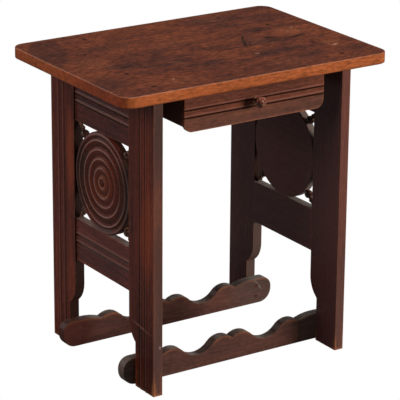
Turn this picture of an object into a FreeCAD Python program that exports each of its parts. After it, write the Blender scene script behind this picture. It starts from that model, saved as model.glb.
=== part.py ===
"""Small tavern table: framed ends with turned roundels, scalloped stretchers and a hung drawer.

Millimetres. The origin is on the floor under the middle of the top, +Z is up, +X runs along the
top and -Y points at the drawer front. Pieces are drawn for the right end or the back side and
mirrored to the other.
"""
import FreeCAD
import Part
import math
import os

# Top
table_height = 610.0
top_thickness = 22.0
top_end_overhang = 76.0
top_side_overhang = 23.5
top_corner_radius = 26.0
top_arris = 2.0

# Framed ends
frame_length = 447.4
stock = 20.5
stile_width = 87.75
stile_arris = 1.2
rail_thickness = 16.5
upper_rail_height = 113.5
lower_rail_height = 87.5
tenon_thickness = 7.0
tenon_length = 28.0
tenon_shoulder = 12.0
mortise_end_gap = 1.0

# Plain rail under the top's back edge
back_rail_height = 113.5
back_rail_thickness = 18.0
back_rail_setback = 8.0
back_tenon_length = 12.0

# Foot of each stile
foot_step = 22.75
foot_height = 91.0
foot_round_height = 43.0

# Double quirk bead worked on stiles, rails and drawer front
bead_width = 7.5
bead_height = 0.8
quirk_width = 1.4
quirk_depth = 1.8
stile_bead_spacing = 18.3
stile_bead_margin = 27.8
rail_bead_spacing = 16.6
rail_bead_margin = 41.0
drawer_bead_spacing = 14.4
drawer_bead_margin = 32.1

# Turned roundel of each end
roundel_diameter = 201.9
roundel_seat_depth = 0.45
roundel_side_gap = 0.3
roundel_crest_inset = 1.2
roundel_edge_drop = 5.8
roundel_back_round = 2.0
ring_count = 5
ring_width = 5.0
ring_height = 2.0
ring_hollow = 1.4
centre_ring_radius = 11.2
rim_width = 16.55
rim_bead_width = 9.0
rim_crest_drop = 0.6
boss_radius = 4.2
boss_height = 2.0

# Corner finials
finial_tenon_radius = 2.5
finial_tenon_length = 8.0
finial_collar_radius = 4.5
finial_collar_length = 2.0
finial_ball_radius = 8.4
finial_bud_radius = 5.2
finial_neck_radius = 3.6
finial_neck_length = 2.5
finial_tail_radius = 3.0

# Dowels
dowel_radius = 4.0
dowel_in_rail = 14.0
dowel_in_roundel = 14.0
dowel_clearance = 0.1
dowel_end_gap = 0.5

# Stretchers
stretcher_end_overhang = 27.3
stretcher_height = 54.0
stretcher_floor_gap = 0.5
front_stretcher_rise = 3.2
stretcher_arris = 1.2
hump_offset = 21.5
notch_depth = 7.0
notch_radius = 1.5
valley_depth = 26.0
lobe_length = 90.0
lobe_rise_length = 40.0
stretcher_end_top_radius = 22.0
stretcher_end_bottom_radius = 28.0

# Drawer
drawer_front_height = 70.5
drawer_front_thickness = 20.0
drawer_front_overhang = 2.0
drawer_corner_radius = 17.0
drawer_top_gap = 2.0
drawer_side_inset = 5.0
drawer_side_thickness = 12.0
drawer_side_drop = 3.0
drawer_side_raise = 8.5
drawer_rebate_depth = 12.0
drawer_back_thickness = 10.0
drawer_back_inset = 2.0
drawer_back_drop = 6.0
drawer_bottom_thickness = 4.5
drawer_bottom_raise = 4.0
drawer_bottom_tongue = 4.5
drawer_groove_clearance = 0.1

# Drawer suspension
lip_width = 13.0
lip_height = 12.0
lip_drop = 1.0
lip_setback = 46.0
hanger_frame_gap = 14.2
hanger_height = 32.0
hanger_width = 22.0
hanger_rear_gap = 0.5
hanger_side_gap = 1.0
ledge_side_gap = 1.5
running_gap = 0.3
stop_length = 40.0
stop_width = 12.0
stop_height = 20.0
stop_gap = 0.5

# Knob
knob_base_radius = 8.0
knob_base_length = 3.0
knob_neck_radius = 4.8
knob_neck_position = 9.0
knob_neck_end_position = 14.0
knob_neck_end_radius = 8.0
knob_head_radius = 11.3
knob_head_position = 18.8
knob_head_end_position = 23.2
knob_head_end_radius = 8.6
knob_groove_radius = 6.4
knob_groove_position = 24.4
knob_button_radius = 7.2
knob_button_position = 25.4
knob_button_height = 4.6
knob_spigot_radius = 4.5
knob_spigot_wall = 6.0
knob_seat_clearance = 0.2

# Screws, nails and plugs
screw_head_radius = 4.0
screw_head_length = 3.0
screw_shank_radius = 2.1
screw_tip_length = 5.0
screw_clearance = 0.1
screw_end_gap = 0.5
top_screw_bite = 30.0
top_screw_rail_inset = 25.0
top_screw_stile_inset = 17.0
top_screw_back_spacing = 313.0
plug_radius = 3.6
plug_length = 7.0
plug_clearance = 0.05
stretcher_screw_bite = 29.5
stretcher_screw_margin = 16.0
hanger_screw_bite = 10.0
hanger_screw_margin = 35.0
hanger_screw_count = 3
knob_screw_bite = 9.0
nail_head_radius = 2.0
nail_head_length = 1.0
nail_shank_radius = 0.9
nail_tip_length = 2.0
side_nail_bite = 16.0
side_nail_margin = 10.0
bottom_nail_bite = 17.0
bottom_nail_margin = 40.0
bottom_nail_count = 3

# Places worked out from the sizes above
underside = table_height - top_thickness
frame_out = frame_length / 2
frame_in = frame_out - stock
rail_out = frame_in + rail_thickness
rail_middle = frame_in + rail_thickness / 2
stile_middle = frame_in + stock / 2
roundel_radius = roundel_diameter / 2
opening_half_width = roundel_radius + roundel_side_gap
opening_half_height = roundel_radius - roundel_seat_depth
stile_in = opening_half_width
stile_out = stile_in + stile_width
upper_rail_bottom = underside - upper_rail_height
roundel_height = upper_rail_bottom - opening_half_height
lower_rail_top = roundel_height - opening_half_height
lower_rail_bottom = lower_rail_top - lower_rail_height
top_half_length = frame_out + top_end_overhang
top_half_width = stile_out + top_side_overhang
back_rail_rear = stile_out - back_rail_setback
back_rail_front = back_rail_rear - back_rail_thickness
back_rail_middle = back_rail_rear - back_rail_thickness / 2
back_rail_bottom = underside - back_rail_height
foot_in = stile_in + foot_step
stretcher_in = foot_in - stock
stretcher_end = frame_out + stretcher_end_overhang
stretcher_top = stretcher_floor_gap + stretcher_height
scallop_pitch = stretcher_end - lobe_length

hanger_out = frame_in - hanger_frame_gap
hanger_in = hanger_out - hanger_width
hanger_low = underside - hanger_height
hanger_rear = back_rail_front - hanger_rear_gap
lip_out = hanger_in - hanger_side_gap
side_out = lip_out - lip_width
side_in = side_out - drawer_side_thickness
front_half_width = side_out + drawer_side_inset
drawer_face = -(stile_out + drawer_front_overhang)
drawer_inner_face = drawer_face + drawer_front_thickness
drawer_rebate_face = drawer_inner_face - drawer_rebate_depth
drawer_rear = back_rail_front - stop_width - stop_gap
drawer_top = underside - drawer_top_gap
drawer_low = drawer_top - drawer_front_height
side_top = drawer_top - drawer_side_drop
side_low = drawer_low + drawer_side_raise
bottom_low = side_low + drawer_bottom_raise
bottom_top = bottom_low + drawer_bottom_thickness
back_rear = drawer_rear - drawer_back_inset
back_front = back_rear - drawer_back_thickness
back_middle = back_rear - drawer_back_thickness / 2
back_top = side_top - drawer_back_drop
lip_top = side_top - lip_drop
lip_low = lip_top - lip_height
lip_front = drawer_inner_face + lip_setback
knob_height = drawer_low + drawer_bead_margin + drawer_bead_spacing / 2
knob_spigot_length = drawer_front_thickness - knob_spigot_wall

top_screw_length = top_thickness - plug_length + top_screw_bite
stretcher_screw_length = stock + stretcher_screw_bite
hanger_screw_length = hanger_height + hanger_screw_bite
stop_screw_length = stop_height + hanger_screw_bite
knob_screw_length = knob_spigot_wall + knob_screw_bite
side_nail_length = drawer_side_thickness + side_nail_bite
bottom_nail_length = drawer_bottom_thickness + bottom_nail_bite

ORIGIN = FreeCAD.Vector(0, 0, 0)
X_AXIS = FreeCAD.Vector(1, 0, 0)
Y_AXIS = FreeCAD.Vector(0, 1, 0)
Z_AXIS = FreeCAD.Vector(0, 0, 1)
CUT_PAST = 1.0
NEAR = 0.001


def point(x, y, z):
    """A point in space."""
    return FreeCAD.Vector(x, y, z)


def box(x_range, y_range, z_range):
    """A box between two values on each axis."""
    size = [high - low for low, high in (x_range, y_range, z_range)]
    corner = point(x_range[0], y_range[0], z_range[0])
    return Part.makeBox(size[0], size[1], size[2], corner)


def cylinder(radius, start, end):
    """A round bar from one point to another."""
    along = end - start
    return Part.makeCylinder(radius, along.Length, start, along)


def mirror_x(shape):
    """The same piece at the other end."""
    return shape.mirror(ORIGIN, X_AXIS)


def mirror_y(shape):
    """The same piece on the other long side."""
    return shape.mirror(ORIGIN, Y_AXIS)


def to_front_stretcher(shape):
    """The same piece of the front stretcher, which sits a little higher than the back one."""
    return mirror_y(shape).translated(Z_AXIS * front_stretcher_rise)


def both_ends_of(shapes):
    """Shapes of the right end together with their mirror images."""
    return shapes + [mirror_x(shape) for shape in shapes]


def group(shapes):
    """Separate like solids kept together."""
    return Part.makeCompound(shapes)


def spread(first, last, count):
    """Evenly spaced places from first to last."""
    return [first + (last - first) * index / (count - 1) for index in range(count)]


def circle_middle(centre, start, end):
    """The point half way along the shorter arc from start to end about a centre."""
    across = (start[0] + end[0] - 2 * centre[0], start[1] + end[1] - 2 * centre[1])
    reach = math.dist(centre, start) / math.hypot(*across)
    return (centre[0] + across[0] * reach, centre[1] + across[1] * reach)


def circles_meet(first, first_radius, second, second_radius):
    """The upper point where two circles meet, the second to the right of the first."""
    across = (second[0] - first[0], second[1] - first[1])
    gap = math.hypot(*across)
    along = (gap**2 + first_radius**2 - second_radius**2) / (2 * gap)
    up = math.sqrt(first_radius**2 - along**2)
    step = (across[0] / gap, across[1] / gap)
    return (first[0] + along * step[0] - up * step[1], first[1] + along * step[1] + up * step[0])


def towards(start, end, distance):
    """The point at a distance from start, on the way to end."""
    share = distance / math.dist(start, end)
    return (start[0] + (end[0] - start[0]) * share, start[1] + (end[1] - start[1]) * share)


class Outline:
    """A closed outline of lines and arcs, drawn in two coordinates that place() puts in space."""

    def __init__(self, place, start):
        self.place = place
        self.start = start
        self.here = start
        self.edges = []

    def line(self, end):
        """Goes straight to the next point."""
        self.edges.append(Part.LineSegment(self.place(*self.here), self.place(*end)).toShape())
        self.here = end

    def arc(self, middle, end):
        """Goes to the next point on the circle through a middle point."""
        points = [self.place(*spot) for spot in (self.here, middle, end)]
        self.edges.append(Part.Arc(*points).toShape())
        self.here = end

    def arc_about(self, centre, end):
        """Goes to the next point the short way round a centre."""
        self.arc(circle_middle(centre, self.here, end), end)

    def cap(self, height):
        """Ends a turned profile, drawn as (along, radius), with a part of a ball on its axis."""
        along, radius = self.here
        ball = (radius**2 + height**2) / (2 * height)
        self.arc_about((along + height - ball, 0), (along + height, 0))

    def face(self):
        """Fills the outline, closed with a line where it is open."""
        if math.dist(self.here, self.start) > NEAR:
            self.line(self.start)
        return Part.Face(Part.Wire(self.edges))


def add_double_bead(outline, place, first, spacing):
    """Adds two low beads, each with a quirk before it; place(along, out) is on the outline."""
    half = bead_width / 2
    for middle in (first, first + spacing):
        outline.line(place(middle - half - quirk_width, 0))
        outline.line(place(middle - half, -quirk_depth))
        outline.arc(place(middle, bead_height), place(middle + half, 0))


# Screws and nails, each with the hole that it sits in

def turned_bar(profile, start, along):
    """A bar turned from (distance, radius) corners about an axis from a point."""
    upright = abs(along.z) > abs(along.x) + abs(along.y)
    outward = X_AXIS if upright else Z_AXIS

    def place(distance, radius):
        return start + along * distance + outward * radius

    outline = Outline(place, profile[0])
    for corner in profile[1:]:
        outline.line(corner)
    return outline.face().revolve(start, along, 360)


def wood_screw(start, along, length, slack=0.0, end_gap=0.0):
    """A countersunk wood screw; with slack and an end gap, its hole."""
    head = screw_head_radius + slack
    shank = screw_shank_radius + slack
    reach = length + end_gap
    profile = [
        (0, 0),
        (0, head),
        (screw_head_length, shank),
        (reach - screw_tip_length, shank),
        (reach, 0),
    ]
    return turned_bar(profile, start, along)


def screw_holes(heads, along, length):
    """The holes of screws with their heads at some points."""
    return [wood_screw(head, along, length, screw_clearance, screw_end_gap) for head in heads]


def nail(start, along, length, slack=0.0, end_gap=0.0):
    """A flat-headed nail; with slack and an end gap, its hole."""
    head = nail_head_radius + slack
    shank = nail_shank_radius + slack
    reach = length + end_gap
    profile = [
        (0, 0),
        (0, head),
        (nail_head_length, head),
        (nail_head_length, shank),
        (reach - nail_tip_length, shank),
        (reach, 0),
    ]
    return turned_bar(profile, start, along)


def nail_holes(heads, along, length):
    """The holes of nails with their heads at some points."""
    return [nail(head, along, length, screw_clearance, screw_end_gap) for head in heads]


# Fastener places, shared by the fasteners and their holes

def top_screw_heads():
    """Heads of the screws through the top's right half: end rail, front stile and back rail."""
    along_rail = stile_in - top_screw_rail_inset
    places = [
        (rail_middle, -along_rail),
        (rail_middle, along_rail),
        (stile_middle, top_screw_stile_inset - stile_out),
        (top_screw_back_spacing / 2, back_rail_middle),
    ]
    return [point(x, y, table_height - plug_length) for x, y in places]


def top_screw_holes():
    """The holes of the screws through the top's right half."""
    return screw_holes(top_screw_heads(), -Z_AXIS, top_screw_length)


def stretcher_screw_heads():
    """Heads of the back stretcher's screws."""
    low = stretcher_floor_gap + stretcher_screw_margin
    high = stretcher_top - stretcher_screw_margin
    return [point(x, stretcher_in, z) for x in (-stile_middle, stile_middle) for z in (low, high)]


def stretcher_screw_holes():
    """The holes of the back stretcher's screws."""
    return screw_holes(stretcher_screw_heads(), Y_AXIS, stretcher_screw_length)


def hanger_screw_heads():
    """Heads of the right hanger's screws."""
    first = lip_front + hanger_screw_margin
    last = hanger_rear - hanger_screw_margin
    middle = (hanger_in + hanger_out) / 2
    return [point(middle, y, hanger_low) for y in spread(first, last, hanger_screw_count)]


def stop_screw_heads():
    """Head of the drawer stop's screw."""
    return [point(0, drawer_rear + stop_gap + stop_width / 2, underside - stop_height)]


def side_nail_heads():
    """Heads of the nails in the drawer's right side."""
    front = (drawer_rebate_face + drawer_inner_face) / 2
    low = bottom_top + side_nail_margin
    high = back_top - side_nail_margin
    return [point(side_out, y, z) for y in (front, back_middle) for z in (low, high)]


def bottom_nail_heads():
    """Heads of the nails under the drawer's bottom."""
    reach = side_in - bottom_nail_margin
    return [point(x, back_middle, bottom_low) for x in spread(-reach, reach, bottom_nail_count)]


# Top

def make_top():
    """The top: a board with round corners, softened arrises and plugged screw holes."""
    board = box(
        (-top_half_length, top_half_length),
        (-top_half_width, top_half_width),
        (underside, table_height),
    )
    uprights = [edge for edge in board.Edges if edge.Length < top_thickness + NEAR]
    board = board.makeFillet(top_corner_radius, uprights)
    flats = [face for face in board.Faces if abs(face.normalAt(0, 0).z) > 1 - NEAR]
    board = board.makeFillet(top_arris, [edge for face in flats for edge in face.Edges])
    holes = top_screw_holes()
    for head in top_screw_heads():
        mouth = point(head.x, head.y, table_height + CUT_PAST)
        holes.append(cylinder(plug_radius + plug_clearance, head, mouth))
    holes.extend(screw_holes(hanger_screw_heads(), Z_AXIS, hanger_screw_length))
    holes = both_ends_of(holes)
    holes.extend(screw_holes(stop_screw_heads(), Z_AXIS, stop_screw_length))
    return board.cut(holes)


def make_top_screws():
    """Screws through the top's right half."""
    return group([wood_screw(head, -Z_AXIS, top_screw_length) for head in top_screw_heads()])


def make_top_plugs():
    """Wooden plugs over the right half's screws, flush with the top."""
    plugs = []
    for head in top_screw_heads():
        plugs.append(cylinder(plug_radius, head, point(head.x, head.y, table_height)))
    return group(plugs)


# Framed ends

def rail_tenon(low, high, end_gap):
    """The tenons at both ends of a right-hand rail; with an end gap, their mortises."""
    reach = stile_in + tenon_length + end_gap
    half = tenon_thickness / 2
    return box(
        (rail_middle - half, rail_middle + half),
        (-reach, reach),
        (low + tenon_shoulder, high - tenon_shoulder),
    )


def make_rail(low, high):
    """A right-hand rail with its double bead, tenons, dowel hole and screw holes."""
    def place(x, z):
        return point(x, -stile_in, z)

    def face_place(along, out):
        return (rail_out + out, low + along)

    outline = Outline(place, (frame_in, low))
    outline.line((rail_out, low))
    add_double_bead(outline, face_place, rail_bead_margin, rail_bead_spacing)
    outline.line((rail_out, high))
    outline.line((frame_in, high))
    rail = outline.face().extrude(Y_AXIS * (2 * stile_in))
    rail = rail.fuse(rail_tenon(low, high, 0)).removeSplitter()
    return rail.cut(top_screw_holes() + dowel_holes())


def back_rail_tenon(end_gap):
    """The tenons at both ends of the back rail; with an end gap, their mortises."""
    reach = frame_in + back_tenon_length + end_gap
    half = tenon_thickness / 2
    return box(
        (-reach, reach),
        (back_rail_middle - half, back_rail_middle + half),
        (back_rail_bottom + tenon_shoulder, underside - tenon_shoulder),
    )


def make_back_rail():
    """The plain back rail with its tenons and screw holes."""
    rail = box((-frame_in, frame_in), (back_rail_front, back_rail_rear), (back_rail_bottom, underside))
    rail = rail.fuse(back_rail_tenon(0)).removeSplitter()
    return rail.cut(both_ends_of(top_screw_holes()))


def foot_cut():
    """What is cut from the inner edge of a right-hand back stile to leave its foot."""
    def place(y, z):
        return point(frame_in - CUT_PAST, y, z)

    round_radius = (foot_step**2 + foot_round_height**2) / (2 * foot_step)
    round_top = foot_height + foot_round_height
    outline = Outline(place, (stile_in, round_top))
    outline.arc_about((stile_in + round_radius, round_top), (foot_in, foot_height))
    outline.line((foot_in, -CUT_PAST))
    outline.line((stile_in - CUT_PAST, -CUT_PAST))
    outline.line((stile_in - CUT_PAST, round_top))
    depth = stock + bead_height + 2 * CUT_PAST
    return outline.face().extrude(X_AXIS * depth)


def plain_stile():
    """The right stile at the back: beaded outer face, end rails' mortises and stepped foot."""
    def place(x, y):
        return point(x, y, 0)

    def face_place(along, out):
        return (frame_out + out, along)

    outline = Outline(place, (frame_in, stile_in))
    outline.line((frame_out, stile_in))
    first_bead = stile_out - stile_bead_margin - stile_bead_spacing
    add_double_bead(outline, face_place, first_bead, stile_bead_spacing)
    outline.line((frame_out, stile_out))
    outline.line((frame_in, stile_out))
    stile = outline.face().extrude(Z_AXIS * underside)
    outer = [edge for edge in stile.Edges if edge.BoundBox.YMin > stile_out - NEAR]
    stile = stile.makeFillet(stile_arris, [edge for edge in outer if edge.Length > stile_width])
    cuts = [foot_cut()]
    cuts.append(rail_tenon(lower_rail_bottom, lower_rail_top, mortise_end_gap))
    cuts.append(rail_tenon(upper_rail_bottom, underside, mortise_end_gap))
    return stile.cut(cuts)


def make_back_stile():
    """The back right stile, mortised for the back rail and drilled for its stretcher's screws."""
    return plain_stile().cut(stretcher_screw_holes() + [back_rail_tenon(mortise_end_gap)])


def make_front_stile():
    """The front right stile, drilled for the screws of the top and its stretcher."""
    holes = [to_front_stretcher(hole) for hole in stretcher_screw_holes()]
    return mirror_y(plain_stile()).cut(holes + top_screw_holes())


# Turned roundels and finials

def opening_box():
    """The right end's opening between its stiles and rails."""
    return box(
        (frame_in - CUT_PAST, frame_out + CUT_PAST),
        (-opening_half_width, opening_half_width),
        (lower_rail_top, upper_rail_bottom),
    )


def roundel_centre():
    """The right roundel's centre, half way through the rails."""
    return point(rail_middle, 0, roundel_height)


def finial_directions():
    """Unit directions from the roundel's centre to the four corners of its opening."""
    corners = [(y, z) for y in (-1, 1) for z in (-1, 1)]
    return [point(0, y * opening_half_width, z * opening_half_height).normalize() for y, z in corners]


def dowel_spans():
    """Lower and upper ends of the right roundel's dowels."""
    lower = (lower_rail_top - dowel_in_rail, lower_rail_top + dowel_in_roundel)
    upper = (upper_rail_bottom - dowel_in_roundel, upper_rail_bottom + dowel_in_rail)
    return [lower, upper]


def dowels(slack=0.0, end_gap=0.0):
    """The right roundel's dowels; with slack and an end gap, their holes."""
    bars = []
    for low, high in dowel_spans():
        start = point(rail_middle, 0, low - end_gap)
        end = point(rail_middle, 0, high + end_gap)
        bars.append(cylinder(dowel_radius + slack, start, end))
    return bars


def dowel_holes():
    """The holes of the right roundel's dowels."""
    return dowels(dowel_clearance, dowel_end_gap)


def roundel_profile():
    """The right roundel's section from its flat back over the rim and rings to the boss."""
    crest = frame_out - roundel_crest_inset
    valley = crest - ring_height
    hollow = valley - ring_hollow
    half = ring_width / 2

    def place(x, radius):
        return point(x, 0, roundel_height + radius)

    outline = Outline(place, (frame_in, 0))
    outline.line((frame_in, roundel_radius - roundel_back_round))
    back_centre = (frame_in + roundel_back_round, roundel_radius - roundel_back_round)
    outline.arc_about(back_centre, (frame_in + roundel_back_round, roundel_radius))
    outline.line((crest - roundel_edge_drop, roundel_radius))
    rim_crest = (crest - rim_crest_drop, roundel_radius - rim_bead_width / 2)
    outline.arc(rim_crest, (valley, roundel_radius - rim_bead_width))
    for radius in spread(roundel_radius - rim_width, centre_ring_radius, ring_count):
        between = (outline.here[1] + radius + half) / 2
        outline.arc((hollow, between), (valley, radius + half))
        outline.arc((crest, radius), (valley, radius - half))
    between = (outline.here[1] + boss_radius) / 2
    outline.arc((hollow, between), (valley, boss_radius))
    outline.cap(boss_height)
    return outline.face()


def make_roundel():
    """The right roundel: a turned disc with raised rings, seated flat on both rails."""
    axis_end = point(frame_in, 0, roundel_height)
    disc = roundel_profile().revolve(axis_end, X_AXIS, 360)
    disc = disc.common(opening_box())
    holes = dowel_holes()
    bottom = roundel_radius - finial_tenon_length - dowel_end_gap
    for along in finial_directions():
        start = roundel_centre() + along * bottom
        end = roundel_centre() + along * (roundel_radius + CUT_PAST)
        holes.append(cylinder(finial_tenon_radius + dowel_clearance, start, end))
    return disc.cut(holes)


def make_finial(along):
    """A turned finial from the roundel's edge into a corner of the opening."""
    centre = roundel_centre()
    past_corner = math.hypot(opening_half_width, opening_half_height) + CUT_PAST

    def place(distance, radius):
        return centre + along * distance + X_AXIS * radius

    outline = Outline(place, (roundel_radius - finial_tenon_length, 0))
    outline.line((roundel_radius - finial_tenon_length, finial_tenon_radius))
    outline.line((roundel_radius, finial_tenon_radius))
    outline.line((roundel_radius, finial_collar_radius))
    outline.line((roundel_radius + finial_collar_length, finial_collar_radius))
    for ball in (finial_ball_radius, finial_bud_radius):
        distance, radius = outline.here
        middle = distance + math.sqrt(ball**2 - radius**2)
        end = middle + math.sqrt(ball**2 - finial_neck_radius**2)
        outline.arc((middle, ball), (end, finial_neck_radius))
        outline.line((end + finial_neck_length, finial_neck_radius))
    outline.line((past_corner, finial_tail_radius))
    outline.line((past_corner, 0))
    return outline.face().revolve(centre, along, 360).common(opening_box())


# Stretchers

def stretcher_face():
    """The stretcher's outline: scallops from the middle notch, then a lobe and a round end."""
    low = stretcher_floor_gap
    hump_radius = (hump_offset**2 + notch_depth**2) / (2 * notch_depth)
    run = scallop_pitch / 2 - hump_offset
    both_radii = (run**2 + valley_depth**2) / (2 * valley_depth)
    valley_bottom = (scallop_pitch / 2, stretcher_top - valley_depth)
    hump = (hump_offset, stretcher_top - hump_radius)
    near_hump = (-hump_offset, hump[1])
    far_hump = (scallop_pitch - hump_offset, hump[1])
    valley = (valley_bottom[0], valley_bottom[1] + both_radii - hump_radius)
    lobe_radius = (lobe_rise_length**2 + notch_depth**2) / (2 * notch_depth)
    lobe_top = (scallop_pitch + lobe_rise_length, stretcher_top)
    lobe = (lobe_top[0], stretcher_top - lobe_radius)
    notch = circles_meet(near_hump, hump_radius + notch_radius, hump, hump_radius + notch_radius)
    last_notch = circles_meet(far_hump, hump_radius + notch_radius, lobe, lobe_radius + notch_radius)
    bend = towards(hump, valley, hump_radius)
    shoulder = (stretcher_end - stretcher_end_top_radius, stretcher_top)
    nose_top = (stretcher_end, stretcher_top - stretcher_end_top_radius)
    nose_low = (stretcher_end, low + stretcher_end_bottom_radius)
    heel = (stretcher_end - stretcher_end_bottom_radius, low)

    def half_edges(side):
        def place(x, z):
            return point(side * x, stretcher_in, z)

        half = Outline(place, (0, notch[1] - notch_radius))
        half.arc_about(notch, towards(hump, notch, hump_radius))
        half.arc_about(hump, bend)
        half.arc(valley_bottom, (scallop_pitch - bend[0], bend[1]))
        half.arc_about(far_hump, towards(far_hump, last_notch, hump_radius))
        half.arc_about(last_notch, towards(lobe, last_notch, lobe_radius))
        half.arc_about(lobe, lobe_top)
        half.line(shoulder)
        half.arc_about((shoulder[0], nose_top[1]), nose_top)
        half.line(nose_low)
        half.arc_about((heel[0], nose_low[1]), heel)
        half.line((0, low))
        return half.edges

    edges = Part.sortEdges(half_edges(1) + half_edges(-1))[0]
    return Part.Face(Part.Wire(edges))


def make_stretcher():
    """The back stretcher: a scalloped board screwed to the feet, with softened arrises."""
    board = stretcher_face().extrude(Y_AXIS * stock).removeSplitter()
    sides = [face for face in board.Faces if abs(face.normalAt(0, 0).y) > 1 - NEAR]
    board = board.makeFillet(stretcher_arris, [edge for face in sides for edge in face.Edges])
    return board.cut(stretcher_screw_holes())


def make_stretcher_screws():
    """Screws of the back stretcher, into both back feet."""
    heads = stretcher_screw_heads()
    return group([wood_screw(head, Y_AXIS, stretcher_screw_length) for head in heads])


# Drawer

def front_outline_face():
    """The drawer front's outline with its round lower corners."""
    radius = drawer_corner_radius
    straight = front_half_width - radius
    round_top = drawer_low + radius

    def place(x, z):
        return point(x, drawer_face - bead_height - CUT_PAST, z)

    outline = Outline(place, (-front_half_width, drawer_top))
    outline.line((-front_half_width, round_top))
    outline.arc_about((-straight, round_top), (-straight, drawer_low))
    outline.line((straight, drawer_low))
    outline.arc_about((straight, round_top), (front_half_width, round_top))
    outline.line((front_half_width, drawer_top))
    return outline.face()


def beaded_board():
    """The drawer front's board, as long as the front, with its double bead."""
    def place(y, z):
        return point(-front_half_width, y, z)

    def face_place(along, out):
        return (drawer_face - out, drawer_low + along)

    outline = Outline(place, (drawer_inner_face, drawer_low))
    outline.line((drawer_face, drawer_low))
    add_double_bead(outline, face_place, drawer_bead_margin, drawer_bead_spacing)
    outline.line((drawer_face, drawer_top))
    outline.line((drawer_inner_face, drawer_top))
    return outline.face().extrude(X_AXIS * (2 * front_half_width))


def make_drawer_front():
    """The drawer front: beaded face, round lower corners, rebates, groove and knob seat."""
    depth = drawer_front_thickness + bead_height + 2 * CUT_PAST
    front = beaded_board().common(front_outline_face().extrude(Y_AXIS * depth))
    rebate = box(
        (side_in, front_half_width + CUT_PAST),
        (drawer_rebate_face, drawer_inner_face + CUT_PAST),
        (drawer_low - CUT_PAST, drawer_top + CUT_PAST),
    )
    nails = nail_holes(side_nail_heads(), -X_AXIS, side_nail_length)
    cuts = both_ends_of([rebate] + nails)
    cuts.append(bottom_panel(drawer_groove_clearance))
    seat = point(0, drawer_face, knob_height)
    mouth = point(0, drawer_face - bead_height - CUT_PAST, knob_height)
    cuts.append(cylinder(knob_base_radius + knob_seat_clearance, seat, mouth))
    bottom = point(0, drawer_face + knob_spigot_length, knob_height)
    cuts.append(cylinder(knob_spigot_radius + dowel_clearance, seat, bottom))
    cuts.append(knob_screw(screw_clearance, screw_end_gap))
    return front.cut(cuts)


def bottom_panel(clearance):
    """The drawer's bottom; with a clearance, the grooves that it slides in."""
    reach = side_in + drawer_bottom_tongue + clearance
    return box(
        (-reach, reach),
        (drawer_inner_face - drawer_bottom_tongue - clearance, back_rear + clearance),
        (bottom_low - clearance, bottom_top + clearance),
    )


def make_drawer_bottom():
    """The drawer's bottom panel with its nail holes."""
    return bottom_panel(0).cut(nail_holes(bottom_nail_heads(), Z_AXIS, bottom_nail_length))


def make_drawer_side():
    """The drawer's right side, grooved for the bottom."""
    side = box((side_in, side_out), (drawer_rebate_face, drawer_rear), (side_low, side_top))
    holes = nail_holes(side_nail_heads(), -X_AXIS, side_nail_length)
    return side.cut(holes + [bottom_panel(drawer_groove_clearance)])


def make_drawer_back():
    """The drawer's back, between the sides and on top of the bottom."""
    back = box((-side_in, side_in), (back_front, back_rear), (bottom_top, back_top))
    holes = both_ends_of(nail_holes(side_nail_heads(), -X_AXIS, side_nail_length))
    holes.extend(nail_holes(bottom_nail_heads(), Z_AXIS, bottom_nail_length))
    return back.cut(holes)


def make_side_nails():
    """Nails through both sides into the drawer's front and back."""
    nails = [nail(head, -X_AXIS, side_nail_length) for head in side_nail_heads()]
    return group(both_ends_of(nails))


def make_bottom_nails():
    """Nails through the bottom into the drawer's back."""
    return group([nail(head, Z_AXIS, bottom_nail_length) for head in bottom_nail_heads()])


def make_drawer_lip():
    """The strip on the drawer's right side that slides on the hanger."""
    return box((side_out, lip_out), (lip_front, drawer_rear), (lip_low, lip_top))


def make_hanger():
    """The right hanger: a batten under the top, rebated to leave a ledge for the drawer's lip."""
    span = (lip_front, hanger_rear)
    batten = box((side_out + ledge_side_gap, hanger_out), span, (hanger_low, underside))
    room = box(
        (side_out, hanger_in),
        (span[0] - CUT_PAST, span[1] + CUT_PAST),
        (lip_low - running_gap, underside + CUT_PAST),
    )
    holes = screw_holes(hanger_screw_heads(), Z_AXIS, hanger_screw_length)
    return batten.cut(holes + [room])


def make_hanger_screws():
    """Screws of the right hanger, up into the top."""
    return group([wood_screw(head, Z_AXIS, hanger_screw_length) for head in hanger_screw_heads()])


def make_stop():
    """The block under the top that stops the drawer's box when it is shut."""
    front = drawer_rear + stop_gap
    block = box(
        (-stop_length / 2, stop_length / 2),
        (front, front + stop_width),
        (underside - stop_height, underside),
    )
    return block.cut(screw_holes(stop_screw_heads(), Z_AXIS, stop_screw_length))


def make_stop_screw():
    """The screw of the drawer stop."""
    return group([wood_screw(head, Z_AXIS, stop_screw_length) for head in stop_screw_heads()])


# Knob

def make_knob():
    """The turned knob: base, waist, head, groove and button, and a spigot into the front."""
    def place(out, radius):
        return point(0, drawer_face - out, knob_height + radius)

    spigot_end = dowel_end_gap - knob_spigot_length
    outline = Outline(place, (spigot_end, 0))
    outline.line((spigot_end, knob_spigot_radius))
    outline.line((0, knob_spigot_radius))
    outline.line((0, knob_base_radius))
    outline.line((knob_base_length, knob_base_radius))
    waist = (knob_neck_position, knob_neck_radius)
    outline.arc(waist, (knob_neck_end_position, knob_neck_end_radius))
    crown = (knob_head_position, knob_head_radius)
    outline.arc(crown, (knob_head_end_position, knob_head_end_radius))
    outline.line((knob_groove_position, knob_groove_radius))
    outline.line((knob_button_position, knob_button_radius))
    outline.cap(knob_button_height)
    knob = outline.face().revolve(point(0, drawer_face, knob_height), Y_AXIS, 360)
    return knob.cut(knob_screw(screw_clearance, screw_end_gap))


def knob_screw(slack=0.0, end_gap=0.0):
    """The screw from inside the drawer into the knob; with slack and an end gap, its hole."""
    head = point(0, drawer_inner_face, knob_height)
    return wood_screw(head, -Y_AXIS, knob_screw_length, slack, end_gap)


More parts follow.
